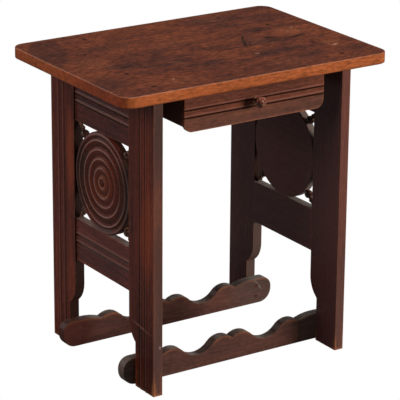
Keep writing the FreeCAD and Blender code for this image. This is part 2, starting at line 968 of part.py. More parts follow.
def make_nodes():
    """Every piece by its name."""
    nodes = {
        "table_top": make_top(),
        "back_rail": make_back_rail(),
        "drawer_front": make_drawer_front(),
        "drawer_back": make_drawer_back(),
        "drawer_bottom": make_drawer_bottom(),
        "drawer_side_nails": make_side_nails(),
        "drawer_bottom_nails": make_bottom_nails(),
        "drawer_knob": make_knob(),
        "knob_screw": knob_screw(),
        "drawer_stop": make_stop(),
        "drawer_stop_screw": make_stop_screw(),
    }
    ends = {
        "back_{}_stile": make_back_stile(),
        "front_{}_stile": make_front_stile(),
        "{}_upper_rail": make_rail(upper_rail_bottom, underside),
        "{}_lower_rail": make_rail(lower_rail_bottom, lower_rail_top),
        "{}_roundel": make_roundel(),
        "{}_roundel_dowels": group(dowels()),
        "{}_corner_finials": group([make_finial(along) for along in finial_directions()]),
        "{}_top_screws": make_top_screws(),
        "{}_top_plugs": make_top_plugs(),
        "{}_drawer_hanger": make_hanger(),
        "{}_hanger_screws": make_hanger_screws(),
        "drawer_{}_side": make_drawer_side(),
        "drawer_{}_lip": make_drawer_lip(),
    }
    for name, shape in ends.items():
        nodes[name.format("right")] = shape
        nodes[name.format("left")] = mirror_x(shape)
    sides = {
        "{}_stretcher": make_stretcher(),
        "{}_stretcher_screws": make_stretcher_screws(),
    }
    for name, shape in sides.items():
        nodes[name.format("back")] = shape
        nodes[name.format("front")] = to_front_stretcher(shape)
    return nodes


os.makedirs("parts", exist_ok=True)
for node_name, node_shape in sorted(make_nodes().items()):
    node_shape.exportStep(os.path.join("parts", node_name + ".step"))
    print(node_name, len(node_shape.Solids), round(node_shape.Volume), node_shape.isValid())
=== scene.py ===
"""Finishes a tavern table: stained, worn wood on every solid, a plain studio and the camera."""

from math import pi, radians

import bpy
from bpy.props import FloatProperty, FloatVectorProperty, PointerProperty
from bpy.types import Operator, Panel, PropertyGroup
from mathutils import Matrix, Vector


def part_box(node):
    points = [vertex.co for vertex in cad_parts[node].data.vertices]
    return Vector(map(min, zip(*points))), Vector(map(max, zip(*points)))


bl_info = {
    "name": "Tavern table finishes",
    "version": (1, 0, 0),
    "blender": (4, 5, 0),
    "location": "3D View > Sidebar > Table",
    "description": "Stained and worn wood, studio and camera for a tavern table with a hung drawer",
    "category": "Object",
}

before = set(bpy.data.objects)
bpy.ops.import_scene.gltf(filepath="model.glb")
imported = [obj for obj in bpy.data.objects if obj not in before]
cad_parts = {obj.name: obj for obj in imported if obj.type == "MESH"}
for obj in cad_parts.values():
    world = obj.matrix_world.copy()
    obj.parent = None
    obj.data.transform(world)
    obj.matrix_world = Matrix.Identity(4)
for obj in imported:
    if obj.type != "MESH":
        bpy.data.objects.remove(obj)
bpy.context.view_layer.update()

MM = 0.001
WHITE = (1.0, 1.0, 1.0, 1.0)


def mm(*lengths):
    """Lengths or places given in mm, as metres."""
    return tuple(MM * value for value in lengths)


# Settings that a user would change


def colour(name, description, default):
    """A colour setting, as linear red, green and blue."""
    more = {"subtype": "COLOR", "size": 3, "min": 0.0, "max": 1.0}
    return FloatVectorProperty(name=name, description=description, default=default, **more)


def number(name, description, default, **more):
    """A number setting, with its unit or subtype and its limits."""
    return FloatProperty(name=name, description=description, default=default, **more)


def length(name, description, default):
    """A length setting, in metres."""
    return number(name, description, default, min=0.0, unit="LENGTH", precision=5)


def share(name, description, default):
    """A setting from 0 to 1."""
    return number(name, description, default, min=0.0, max=1.0, subtype="FACTOR")


def power(name, description, default):
    """A light's power setting, in watts."""
    return number(name, description, default, min=0.0, unit="POWER")


def angle(name, description, degrees):
    """An angle setting, given in degrees and kept in radians."""
    return number(name, description, radians(degrees), subtype="ANGLE", unit="ROTATION")


class TableColours(PropertyGroup):
    """Colours of the stains, the wood under them and the metal."""

    top_dark: colour("Top, dark", "Dark streaks of the table top", (0.054, 0.0170, 0.0120))
    top_mid: colour("Top", "Main stain of the table top", (0.107, 0.027, 0.0135))
    top_light: colour("Top, light", "Light streaks of the table top", (0.158, 0.040, 0.016))
    top_pale: colour("Top, pale", "Tan marks where the top's stain is thin", (0.215, 0.066, 0.029))
    edge_band: colour("Edge band", "Side of the table top, rubbed down to the wood", (0.280, 0.070, 0.020))
    leg_dark: colour("Leg, dark", "Dark streaks of the legs", (0.046, 0.009, 0.006))
    leg_mid: colour("Leg", "Main stain of the legs", (0.090, 0.0165, 0.0095))
    leg_light: colour("Leg, light", "Red streaks and patches of the legs", (0.185, 0.034, 0.012))
    rail_dark: colour("Rail, dark", "Dark streaks of the rails", (0.042, 0.014, 0.012))
    rail_mid: colour("Rail", "Main stain of the rails", (0.082, 0.020, 0.0150))
    rail_light: colour("Rail, light", "Red streaks of the rails", (0.120, 0.029, 0.018))
    stretcher_dark: colour("Stretcher, dark", "Dark streaks of the stretchers", (0.044, 0.016, 0.012))
    stretcher_mid: colour("Stretcher", "Main stain of the stretchers", (0.082, 0.029, 0.021))
    stretcher_light: colour("Stretcher, light", "Light streaks of the stretchers", (0.128, 0.043, 0.027))
    drawer_dark: colour("Drawer, dark", "Dark streaks of the drawer front", (0.067, 0.0215, 0.0130))
    drawer_mid: colour("Drawer", "Main stain of the drawer front", (0.116, 0.0355, 0.0205))
    drawer_light: colour("Drawer, light", "Red streaks of the drawer front", (0.187, 0.055, 0.0255))
    turned_dark: colour("Turned, dark", "Dark streaks of the turned pieces", (0.030, 0.013, 0.010))
    turned_mid: colour("Turned", "Main stain of the turned pieces", (0.086, 0.0170, 0.0110))
    turned_light: colour("Turned, light", "Red middle of the roundels", (0.152, 0.0255, 0.0120))
    # Rubbed ring crests with painted highlights, and painted light on the discs' inner faces
    ring_rub_and_highlight: colour("Ring crests", "Rubbed crests of the roundels' rings", (0.190, 0.090, 0.078))
    # Rubbed crests with painted highlights on beads and arrises, painted light on front faces, and scratches
    crest_rub_and_highlight: colour("Bead crests", "Rubbed crests of beads and arrises", (0.225, 0.088, 0.062))
    rubbed: colour("Rubbed wood", "Wood that shows where the stain is worn off", (0.300, 0.100, 0.038))
    # Pale bare wood of arrises and scratches, and painted highlights on arrises, ring crests and turnings
    bare_wood_and_highlight: colour("Bare wood", "Pale bare wood of arrises, scratches and specks", (0.500, 0.270, 0.170))
    # Grey of dust in scuffs, nicks and on ledges, and painted light by the legs and round the right disc
    dust_and_light: colour("Dust", "Grey dust on ledges and in scuffs", (0.290, 0.245, 0.210))
    # Grey haze of the polish and painted sheen on inner faces
    inner_haze_and_sheen: colour("Bloom", "Grey haze on the polish of inner faces", (0.112, 0.0475, 0.0445))
    # Dull grey: painted sheen on front edges, stretchers, drawer front, disc ends and right feet; painted
    # shade outside the drawer
    dull: colour("Dulled polish", "Haze on front edges, stretchers and the drawer", (0.058, 0.053, 0.042))
    # Near black: old wax, dust and dark lines, and painted shade in hollows, quirks and ring hollows
    grime_and_shade: colour("Grime", "Old wax and dust in the hollows", (0.014, 0.006, 0.0042))
    box_dark: colour("Drawer box, dark", "Dark streaks of the plain inner wood", (0.075, 0.036, 0.020))
    box_light: colour("Drawer box, light", "Light streaks of the plain inner wood", (0.165, 0.088, 0.048))
    plug: colour("Plugs", "Plugs over the screws, stained on end grain", (0.022, 0.005, 0.0035))
    steel: colour("Steel", "Screws and nails", (0.330, 0.310, 0.285))
    rust: colour("Rust", "Brown bloom on screws and nails", (0.110, 0.045, 0.022))


class TableWear(PropertyGroup):
    """Sizes of the grain, the wear and the polish."""

    streak_width: length("Streak width", "Usual width of a streak across the grain", 9.0 * MM)
    streak_length: length("Streak length", "Usual length of a streak along the grain", 170.0 * MM)
    pore_width: length("Pore width", "Width of a pore across the grain", 0.7 * MM)
    pore_length: length("Pore length", "Length of a pore along the grain", 16.0 * MM)
    pore_depth: length("Pore depth", "How deep the open pores are", 0.06 * MM)
    rub_reach: length("Rub reach", "How far worn wood reaches from an edge", 2.8 * MM)
    # How far the painted shade and grime of a hollow reach out of it
    shade_and_grime_reach: length("Grime reach", "How far grime reaches out of a hollow", 4.0 * MM)
    rub: share("Rub", "How much stain is worn off the edges", 0.45)
    foot_rub: share("Rub on feet", "How much stain is worn off feet and humps", 0.85)
    gloss: share("Roughness", "Roughness of the rubbed polish", 0.27)


class TableStudio(PropertyGroup):
    """Lights and camera."""

    key: power("Front light", "Wide soft light from the front and the right", 360.0)
    fill: power("Side light", "Soft light on the left end", 52.0)
    back: power("Back light", "Soft light on the left end from behind", 15.0)
    overhead: power("Overhead light", "Soft light from above", 64.0)
    sky: share("Room light", "Brightness of the room around the table", 0.06)
    lens: number("Lens", "Focal length on a sensor 36 mm wide", 207.96, min=1.0, unit="CAMERA")
    camera_place: FloatVectorProperty(
        name="Camera", description="Where the camera stands", default=(-2.36403, -3.59526, 1.80858),
        subtype="TRANSLATION", unit="LENGTH",
    )
    camera_turn: angle("Turn", "How far the camera looks to the right", 33.3631)
    camera_dip: angle("Dip", "How far the camera looks down", 19.3206)
    camera_roll: angle("Roll", "How far the camera leans", 0.4479)


class TavernTable(PropertyGroup):
    """All settings of the table and its studio."""

    colours: PointerProperty(name="Colours", description="Stains, wood and metal", type=TableColours)
    wear: PointerProperty(name="Wear", description="Grain, wear and polish", type=TableWear)
    studio: PointerProperty(name="Studio", description="Lights and camera", type=TableStudio)


# Shader maths


def joined(operation, swapped=False):
    """A method that joins a socket and a value by one operation, in either order."""
    def method(self, value):
        pair = (value, self) if swapped else (self, value)
        return self.shader.math(operation, *pair)
    return method


class Flow:
    """One output socket of a shader, so that maths on values reads as plain Python."""

    def __init__(self, shader, socket):
        self.shader = shader
        self.socket = socket

    def other(self, name):
        """Another output of the same node."""
        return Flow(self.shader, self.socket.node.outputs[name])

    def __abs__(self):
        return self.shader.math("ABSOLUTE", self)

    __add__ = joined("ADD")
    __radd__ = joined("ADD", swapped=True)
    __sub__ = joined("SUBTRACT")
    __rsub__ = joined("SUBTRACT", swapped=True)
    __mul__ = joined("MULTIPLY")
    __rmul__ = joined("MULTIPLY", swapped=True)
    __pow__ = joined("POWER")


def solid(tint):
    """A colour for a socket: a link as it is, three numbers with a fourth for no see-through."""
    if isinstance(tint, Flow):
        return tint
    return (tint[0], tint[1], tint[2], 1.0)


def between(start, end, amount):
    """A value that goes from start to end as the amount goes from 0 to 1."""
    return start + (end - start) * amount


class Shader:
    """The node tree of a finish or of the room."""

    def __init__(self, owner):
        owner.use_nodes = True
        self.tree = owner.node_tree
        self.tree.nodes.clear()

    def node(self, kind, settings=None, sockets=None, out=0):
        """Adds a node: first its settings, then a value or a link for each socket."""
        made = self.tree.nodes.new(kind)
        for name, value in (settings or {}).items():
            setattr(made, name, value)
        for key, value in (sockets or {}).items():
            if isinstance(value, Flow):
                self.tree.links.new(value.socket, made.inputs[key])
            else:
                made.inputs[key].default_value = value
        return Flow(self, made.outputs[out]) if made.outputs else None

    def math(self, operation, *values):
        """One sum on values, such as ADD or MAXIMUM."""
        return self.node("ShaderNodeMath", {"operation": operation}, dict(enumerate(values)))

    def most(self, one, other):
        """The larger of two values."""
        return self.math("MAXIMUM", one, other)

    def smooth(self, value, low, high):
        """0 up to low, 1 from high, and an easy slope between them."""
        sockets = {"Value": value, "From Min": low, "From Max": high}
        return self.node("ShaderNodeMapRange", {"interpolation_type": "SMOOTHSTEP"}, sockets)

    def line(self, distance, full, gone):
        """1 within a full distance on both sides of a line, falling to 0 where it is gone."""
        return 1 - self.smooth(abs(distance), full, gone)

    def mix(self, amount, ground, over):
        """A colour laid over another by an amount."""
        sockets = {0: amount, 6: solid(ground), 7: solid(over)}
        return self.node("ShaderNodeMix", {"data_type": "RGBA"}, sockets, out=2)

    def dab(self, tint, spot, edge, amount, over):
        """A colour laid on a spot, softened from the spot's rim to an inner edge."""
        return self.mix(amount * self.smooth(spot, 0.0, edge), tint, over)

    def shade(self, tint, amount):
        """A colour made lighter or darker by a value."""
        grey = self.node("ShaderNodeCombineColor", sockets={0: amount, 1: amount, 2: amount})
        settings = {"data_type": "RGBA", "blend_type": "MULTIPLY"}
        return self.node("ShaderNodeMix", settings, {0: 1.0, 6: solid(tint), 7: grey}, out=2)


# Ways that a face can look: an axis, the way along it, and how far it has to look that way, from 0 to 1,
# to start to count and to count in full

UPWARD = ("Z", 1, 0.80, 0.98)
LEFTWARD = ("X", -1, 0.5, 0.9)
FRONTWARD = ("Y", -1, 0.6, 0.9)

# The same two limits for faces that look towards the table's middle, and for faces that look up or down

INWARD = (0.45, 0.80)
LEVEL = (0.35, 0.80)

# Width of the change between the table's two halves, which lies where no leg or end is

HALVES = mm(-50.0, 50.0)


class Paint(Shader):
    """The shader of one of the table's finishes, with the table's colours and wear at hand."""

    def __init__(self, name, settings):
        self.finish = bpy.data.materials.new(name)
        super().__init__(self.finish)
        self.colours = settings.colours
        self.wear = settings.wear
        self.place = self.node("ShaderNodeTexCoord", out="Object")
        self.facing = self.place.other("Normal")
        split = self.node("ShaderNodeSeparateXYZ", sockets={0: self.place})
        self.x = split.other("X")
        self.y = split.other("Y")
        self.z = split.other("Z")

    def laid(self, axis, along, across, start=(0.0, 0.0, 0.0)):
        """The place, counted in lengths along one axis and in widths across it."""
        counts = [1.0 / across] * 3
        counts["XYZ".index(axis)] = 1.0 / along
        return self.node("ShaderNodeMapping", sockets={0: self.place, 1: start, 3: counts})

    def noise(self, where, detail=2.0, rough=0.5, warp=0.0):
        """Soft noise from 0 to 1, one cell to each unit of the place."""
        sockets = {"Vector": where, "Scale": 1.0, "Detail": detail, "Roughness": rough, "Distortion": warp}
        return self.node("ShaderNodeTexNoise", sockets=sockets)

    def speckle(self, size, detail, rough=0.6):
        """Soft noise with cells of one size along every axis."""
        return self.noise(self.laid("Z", size, size), detail, rough)

    def spot(self, where, middle, reach, turn=(0.0, 0.0, 0.0)):
        """1 at a point, falling to 0 at the edge of an oval, which may be turned about each axis."""
        sockets = {0: where, 1: middle, 2: turn, 3: reach}
        inside = self.node("ShaderNodeMapping", {"vector_type": "TEXTURE"}, sockets)
        return self.node("ShaderNodeTexGradient", {"gradient_type": "SPHERICAL"}, {0: inside}, out=1)

    def shaken(self, amount, size):
        """The place, moved about by noise, so that an oval's edge isn't neat."""
        stir = self.node("ShaderNodeTexNoise", sockets={"Vector": self.place, "Scale": 1.0 / size}, out=1)
        even = self.node("ShaderNodeVectorMath", {"operation": "SUBTRACT"}, {0: stir, 1: (0.5, 0.5, 0.5)})
        small = self.node("ShaderNodeVectorMath", {"operation": "SCALE"}, {0: even, "Scale": amount})
        return self.node("ShaderNodeVectorMath", {"operation": "ADD"}, {0: self.place, 1: small})

    def openness(self, reach, inside):
        """The share of short rays, cast out of a face or into the piece, that meet no other face of it."""
        settings = {"inside": inside, "only_local": True, "samples": 8}
        return self.node("ShaderNodeAmbientOcclusion", settings, {"Distance": reach}, out=1)

    def near_edge(self, reach):
        """About 0.5 on an outer edge, falling to 0 within the reach."""
        return 1 - self.openness(reach, True)

    def in_hollow(self, reach):
        """0 on open faces, and more the closer the piece's own faces stand round a point."""
        return 1 - self.openness(reach, False)

    def towards(self, axis):
        """How far a face looks along an axis, from -1 to 1."""
        return self.node("ShaderNodeSeparateXYZ", sockets={0: self.facing}).other(axis)

    def looks(self, axis, way, start, full):
        """1 on faces that look one way along an axis, 0 on others."""
        return self.smooth(way * self.towards(axis), start, full)

    def at_right(self):
        """1 in the table's right half, 0 in its left half."""
        return self.smooth(self.x, *HALVES)

    def at_back(self):
        """1 in the table's back half, 0 in its front half."""
        return self.smooth(self.y, *HALVES)

    def done(self, tint, rough, height, depth, shine=0.28, **fixed):
        """Joins colour, roughness and bump to the shader, and returns the finish."""
        sockets = {"Strength": 1.0, "Distance": depth, "Height": height}
        bump = self.node("ShaderNodeBump", sockets=sockets)
        sockets = {"Base Color": tint, "Roughness": rough, "Normal": bump, "Specular IOR Level": shine}
        sockets.update(fixed)
        shader = self.node("ShaderNodeBsdfPrincipled", sockets=sockets)
        self.node("ShaderNodeOutputMaterial", sockets={"Surface": shader})
        return self.finish


# Wood, wear, dirt, and painted light and shade that the pieces share

PORE_SHADE = 0.4
RUB_PATCH = 31.0 * MM
BROAD_RUB = 2.8
HOLLOW_SHADE_AND_GRIME = 0.95
LEDGE_GREY_PATCH = 24.0 * MM

# Places where a finish changes, each as where the change starts and where it is full

LEDGE_GREY_END = mm(180.0, 210.0)
INNER_FACE = mm(203.3, 203.7)
LOW_ON_LEG = mm(100.0, 320.0)
UP_THE_LEG = mm(50.0, 380.0)

# Shares of grey haze and painted sheen on inner faces, of painted sheen on front edges, and of painted light
# on them

INNER_HAZE_AND_SHEEN = 0.74
LEFT_FRONT_SHEEN = 0.42
RIGHT_FRONT_SHEEN = 0.25
RIGHT_FRONT_LIGHT = 0.18
LOW_FRONT_LIGHT = 0.10

# A bead's crest and its quirk, as half widths, and the quirk's distance from the crest

BEAD_CREST = mm(0.4, 2.6)
BEAD_QUIRK = mm(0.6, 2.0)
QUIRK = 4.3 * MM

# A reach, in mm, that goes right through any piece

THROUGH = 9000.0


class Grain:
    """Streaks, fibres and pores of one board, along one axis."""

    def __init__(self, paint, axis, start=(0.0, 0.0, 0.0)):
        wear = paint.wear
        wide = wear.streak_width
        long = wear.streak_length
        self.bands = paint.noise(paint.laid(axis, 2.0 * long, 6.0 * wide, start), 2.0, 0.5, 0.6)
        self.streaks = paint.noise(paint.laid(axis, long, wide, start), 3.0, 0.5, 0.25)
        self.fibres = paint.noise(paint.laid(axis, 0.14 * long, 0.22 * wide, start), 4.0, 0.65)
        self.mottle = paint.noise(paint.laid(axis, 0.075 * long, 0.55 * wide, start), 3.0, 0.6, 0.3)
        cells = paint.noise(paint.laid(axis, wear.pore_length, wear.pore_width, start), 1.0, 0.5)
        self.pores = paint.smooth(cells, 0.58, 0.72)
        self.height = 0.35 * self.fibres - self.pores


def stained(paint, grain, stain):
    """A dark, a main and a light stain over a board: broad bands, streaks and dark pores."""
    dark, mid, light = stain
    tone = 0.55 * grain.bands + 0.45 * grain.streaks
    tint = paint.mix(paint.smooth(tone, 0.30, 0.54), dark, mid)
    tint = paint.mix(0.8 * paint.smooth(tone, 0.50, 0.72), tint, light)
    return paint.shade(tint, grained(grain, 0.7))


def grained(grain, strength):
    """Light and dark of single fibres, flecks and pores, about 1."""
    fine = 1.0 + strength * (1.4 * (grain.fibres - 0.5) + 2.2 * (grain.mottle - 0.5))
    return fine * (1 - PORE_SHADE * grain.pores)


def worn(paint, tint, more=None):
    """Patches rubbed bare along outer edges, by a further amount if given, and painted shade and grime in
    hollows.
    """
    wear = paint.wear
    patches = paint.speckle(RUB_PATCH, 3.0)
    edge = paint.smooth(paint.near_edge(wear.rub_reach), 0.10, 0.40)
    amount = wear.rub * edge * between(0.4, 1.0, paint.smooth(patches, 0.40, 0.58))
    if more is not None:
        broad = paint.smooth(paint.near_edge(BROAD_RUB * wear.rub_reach), 0.06, 0.38)
        uneven = between(0.35, 1.0, paint.smooth(patches, 0.38, 0.60))
        amount = paint.most(amount, broad * more * uneven)
    tint = paint.mix(amount, tint, paint.colours.rubbed)
    # Hollows darkened as painted shade and grime
    grime_and_shade = paint.smooth(paint.in_hollow(wear.shade_and_grime_reach), 0.05, 0.36)
    return paint.mix(HOLLOW_SHADE_AND_GRIME * grime_and_shade, tint, paint.colours.grime_and_shade)


def ledge_grey(paint, tint):
    """A grey laid on faces that look up, in uneven patches, and on nearly all of them at the right end."""
    patches = paint.smooth(paint.speckle(LEDGE_GREY_PATCH, 4.0), 0.20, 0.80)
    lying = paint.most(patches, 0.9 * paint.smooth(paint.x, *LEDGE_GREY_END))
    return paint.mix(paint.looks(*UPWARD) * lying, tint, paint.colours.dust_and_light)


def inner_face(paint):
    """1 on an end's inner face, 0 elsewhere."""
    return 1 - paint.smooth(abs(paint.x), *INNER_FACE)


def haze_sheen_and_light(paint, tint):
    """A grey haze of the polish and painted sheen on inner faces, which are seldom rubbed.

    Front edges get a painted sheen of dull grey, and painted light up the right legs and low on both.
    """
    colours = paint.colours
    # Grey haze and painted sheen on inner faces
    tint = paint.mix(INNER_HAZE_AND_SHEEN * inner_face(paint), tint, colours.inner_haze_and_sheen)
    front = paint.looks(*FRONTWARD)
    right = paint.at_right() * paint.smooth(paint.z, *UP_THE_LEG)
    # Painted sheen on front edges
    tint = paint.mix(front * between(LEFT_FRONT_SHEEN, RIGHT_FRONT_SHEEN, right), tint, colours.dull)
    low = 1 - paint.smooth(paint.z, *LOW_ON_LEG)
    # Painted light on front edges, up the right legs and low down
    return paint.mix(front * paint.most(RIGHT_FRONT_LIGHT * right, LOW_FRONT_LIGHT * low), tint, colours.crest_rub_and_highlight)


def beaded(paint, tint, across, edge, beads, shown):
    """Low beads, rubbed and painted with a highlight along their crests, each with a quirk darkened by
    painted shade and grime on its inner or lower side.

    Each bead is given by its middle, counted from an edge of the board, the share of rubbed wood and painted
    highlight on its crest and the share of painted shade and grime in its quirk.
    """
    for place, rub_and_highlight, dark in beads:
        middle = edge + place
        crest = paint.line(across - middle, *BEAD_CREST)
        quirk = paint.line(across - (middle - QUIRK), *BEAD_QUIRK)
        # Rubbed wood and painted highlight on the crest
        tint = paint.mix(rub_and_highlight * shown * crest, tint, paint.colours.crest_rub_and_highlight)
        # Painted shade and grime in the quirk
        tint = paint.mix(dark * shown * quirk, tint, paint.colours.grime_and_shade)
    return tint


def satin(paint, grain):
    """Roughness of a rubbed polish, duller in the pores and uneven from streak to streak."""
    return paint.wear.gloss + 0.16 * (grain.streaks - 0.5) + 0.25 * grain.pores


def bright(paint, grain):
    """Roughness of a polish that hands keep bright, on the top, the drawer's front and small turnings."""
    return 0.8 * paint.wear.gloss + 0.12 * (grain.streaks - 0.5) + 0.08 * grain.pores


# Table top: its face in mm, heights of its side, its outline, and where the band on its side changes

TOP_FACE = 610.0
BAND_FOOT = mm(588.5, 594.0)
TOP_ARRIS = mm(605.4, 607.4)
TOP_ENDS = mm(276.0, 282.0)
TOP_SIDES = mm(192.0, 198.0)
LEFT_OF_BAND = mm(-280.0, -50.0)
BACK_OF_BAND = mm(-120.0, 80.0)
BAND_FOOT_SHADE = 0.35
TOP_ARRIS_RUB_AND_HIGHLIGHT = 0.8

# Marks on the top, in mm: x and y of the middle, half length, half width, turn in degrees and amount

TOP_PALE = (
    (225, 18, 44, 40, 0, 0.50),
    (246, -96, 38, 24, 14, 0.50),
    (-230, 5, 46, 80, 0, 0.28),
    (-45, 52, 66, 26, 0, 0.26),
    (-86, -62, 26, 28, 0, 0.34),
    (118, -10, 44, 34, 0, 0.24),
    (-176, 180, 56, 22, 0, 0.18),
    (-150, -170, 64, 26, 0, 0.18),
    (104, -165, 64, 26, 0, 0.18),
    (138, 168, 66, 36, 0, 0.30),
)

TOP_DARK = (
    (-276, -120, 40, 62, 0, 0.60),
    (-145, 100, 66, 34, 0, 0.50),
    (-95, -10, 22, 46, 0, 0.50),
    (-44, -93, 62, 16, 0, 0.90),
    (108, -93, 70, 17, 0, 0.85),
    (8, -12, 60, 12, 0, 0.55),
    (170, 56, 40, 30, 0, 0.50),
    (232, 122, 66, 46, 0, 0.40),
    (150, -140, 56, 26, 0, 0.35),
    (274, -150, 30, 44, 0, 0.35),
)

TOP_FADED = (
    (-268, 116, 124, 44, 67, 0.70),
)

TOP_LINES = (
    (168, 51, 15, 12, 0, 0.55),
    (92, -20, 30, 5.5, 60, 0.85),
    (111, 16, 34, 3.4, 57, 0.70),
    (101, -24, 24, 3.4, 62, 0.55),
    (158, -5, 13, 12, 0, 0.75),
    (171, -15, 22, 5.5, -40, 0.65),
    (213, -23, 34, 6.5, 15, 0.85),
    (-180, -34, 13, 8, -55, 0.40),
    (-4, 163, 10, 10, 0, 0.50),
)

TOP_SCRATCHES = (
    (241, -113, 13, 4.0, 25, 0.50),
    (74, -88, 7, 5, 0, 0.25),
    (-156, -150, 10, 2.2, 50, 0.30),
    (241, 35, 14, 2.6, 35, 0.28),
)

# Plugs in the right half of the top, and the half width and amount of the dark ring round each

PLUG_PLACES = ((213, 76), (213, -76), (213, -172), (156, 172))
PLUG_RING = 9.0
PLUG_RING_AMOUNT = 0.6


def top_finish(settings):
    """The top board: blotched stain along its length, marks, and a rubbed band round its side."""
    paint = Paint("top_wood", settings)
    grain = Grain(paint, "X")
    clouds = paint.noise(paint.laid("X", 120.0 * MM, 70.0 * MM, (0.3, 0.9, 0.1)), 6.0, 0.62, 0.8)
    tint = top_stain(paint, grain, clouds)
    tint = top_scars(paint, tint)
    upright = 1 - paint.smooth(abs(paint.towards("Z")), *LEVEL)
    tint = paint.mix(upright, tint, edge_band(paint, grain, clouds))
    outline = paint.most(paint.smooth(abs(paint.x), *TOP_ENDS), paint.smooth(abs(paint.y), *TOP_SIDES))
    # A pale line along the top's arris: rubbed bare wood and a painted highlight
    edge = outline * paint.smooth(paint.near_edge(paint.wear.rub_reach), 0.10, 0.38)
    bare_wood_and_highlight = paint.smooth(paint.z, *TOP_ARRIS) * edge
    tint = paint.mix(TOP_ARRIS_RUB_AND_HIGHLIGHT * bare_wood_and_highlight, tint, paint.colours.bare_wood_and_highlight)
    return paint.done(tint, bright(paint, grain), grain.height, paint.wear.pore_depth, shine=0.20)


def top_stain(paint, grain, clouds):
    """The top's stain in clouds and streaks, pale and dark places, and a faded left back corner."""
    colours = paint.colours
    tone = 0.55 * clouds + 0.25 * grain.bands + 0.20 * grain.streaks
    tint = paint.mix(paint.smooth(tone, 0.38, 0.50), colours.top_dark, colours.top_mid)
    tint = paint.mix(0.9 * paint.smooth(tone, 0.48, 0.60), tint, colours.top_light)
    loose = paint.shaken(44.0 * MM, 52.0 * MM)
    tint = marked(paint, tint, loose, TOP_PALE, 0.8, colours.top_pale)
    tint = marked(paint, tint, loose, TOP_DARK, 0.6, colours.top_dark)
    tint = marked(paint, tint, paint.shaken(12.0 * MM, 40.0 * MM), TOP_FADED, 0.35, colours.top_dark)
    return paint.shade(tint, grained(grain, 1.25))


def top_scars(paint, tint):
    """Dark lines and knots, pale scratches and dark rings round the plugs."""
    colours = paint.colours
    tight = paint.shaken(3.0 * MM, 14.0 * MM)
    tint = marked(paint, tint, tight, TOP_LINES, 0.6, colours.grime_and_shade)
    tint = marked(paint, tint, tight, TOP_SCRATCHES, 0.6, colours.bare_wood_and_highlight)
    return marked(paint, tint, tight, plug_rings(), 0.7, colours.plug)


def edge_band(paint, grain, clouds):
    """The top's rubbed side: lighter to the left, darker along its foot, and red on the left end."""
    lightness = (0.45 + 0.5 * grain.streaks + 0.6 * clouds) * grained(grain, 0.8)
    lightness = lightness * between(1.16, 1.0, paint.smooth(paint.x, *LEFT_OF_BAND))
    foot = 1 - paint.smooth(paint.z, *BAND_FOOT)
    band = paint.shade(paint.colours.edge_band, lightness * (1 - BAND_FOOT_SHADE * foot))
    back = paint.smooth(paint.y, *BACK_OF_BAND)
    red = paint.shade(paint.colours.leg_light, lightness * between(0.82, 1.0, back))
    return paint.mix(paint.looks(*LEFTWARD) * between(0.94, 0.45, back), band, red)


def plug_rings():
    """Dark rings on the top round its plugs, written as marks."""
    places = [(side * x, y) for x, y in PLUG_PLACES for side in (-1, 1)]
    return [(x, y, PLUG_RING, PLUG_RING, 0, PLUG_RING_AMOUNT) for x, y in places]


def marked(paint, tint, where, marks, edge, over):
    """Oval marks on the top, each laid over by its amount and softened from its rim to an inner edge."""
    for x, y, half_long, half_wide, turn, amount in marks:
        reach = mm(half_long, half_wide, THROUGH)
        spot = paint.spot(where, mm(x, y, TOP_FACE), reach, (0.0, 0.0, radians(turn)))
        tint = paint.dab(tint, spot, edge, amount, over)
    return tint


# Boards of the frame


def board_finish(settings, name, axis, stain, under=(), more=None, over=()):
    """A board stained along one axis, with layers under its wear and the grey on its ledges, and layers over
    them.
    """
    paint = Paint(name, settings)
    grain = Grain(paint, axis, (0.37, 0.11, 0.23))
    tint = stained(paint, grain, stain)
    for layer in under:
        tint = layer(paint, tint)
    tint = worn(paint, tint, more(paint) if more else None)
    tint = ledge_grey(paint, tint)
    for layer in over:
        tint = layer(paint, tint)
    return paint.done(tint, satin(paint, grain), grain.height, paint.wear.pore_depth)


# Legs: places of their faces and edges

LEG_BEAD_FACE = mm(218.5, 221.0)
LEG_FRONT = mm(186.4, 188.4)
LEG_OUTSIDE = mm(221.4, 223.2)
LEG_INNER_EDGE = mm(126.0, 130.0)
FOOT_TOP = mm(236.0, 240.0)
FOOT_RUB = mm(6.0, 60.0)

# Shares of painted shade low on the left faces, of rubbed wood and painted highlight on front arrises, of
# darkening on inner edges, and of painted sheen on the right feet's inner edges

LOW_SHADE = 0.18
FRONT_ARRIS_RUB_AND_HIGHLIGHT = 0.35
INNER_EDGE_DARKENING = 0.90
RIGHT_FOOT_SHEEN = 0.42

# Beads, counted from a leg's outer edge, each with its shares of rubbed wood and painted highlight on the
# crest, of painted shade and grime in the quirk, and of further painted shade in the quirk on the back legs

LEG_BEADS = ((-27.8 * MM, 0.40, 0.25, 0.60), (-46.1 * MM, 0.36, 0.95, 0.0))

# Outer face of the left legs, in mm, and the redder patches on it: y and z of the middle, half width,
# half height and amount

LEG_FACE = -223.7
RED_REACH = 50.0
LEG_RED = (
    (118, 400, 22, 130, 0.85),
    (-165, 320, 30, 120, 0.60),
    (-150, 480, 34, 90, 0.12),
)

# Ovals on the front left leg: middle, reach along each axis and turn

SCRATCH = (mm(LEG_FACE, -146.5, 128.2), mm(8.0, 46.0, 2.6), (radians(8.7), 0.0, 0.0))
NICK = (mm(-209.1, -189.0, 98.5), mm(4.0, 6.0, 5.0))
BARE_CORNER = (mm(LEG_FACE, -189.0, 0.0), mm(11.0, 11.0, 40.0))


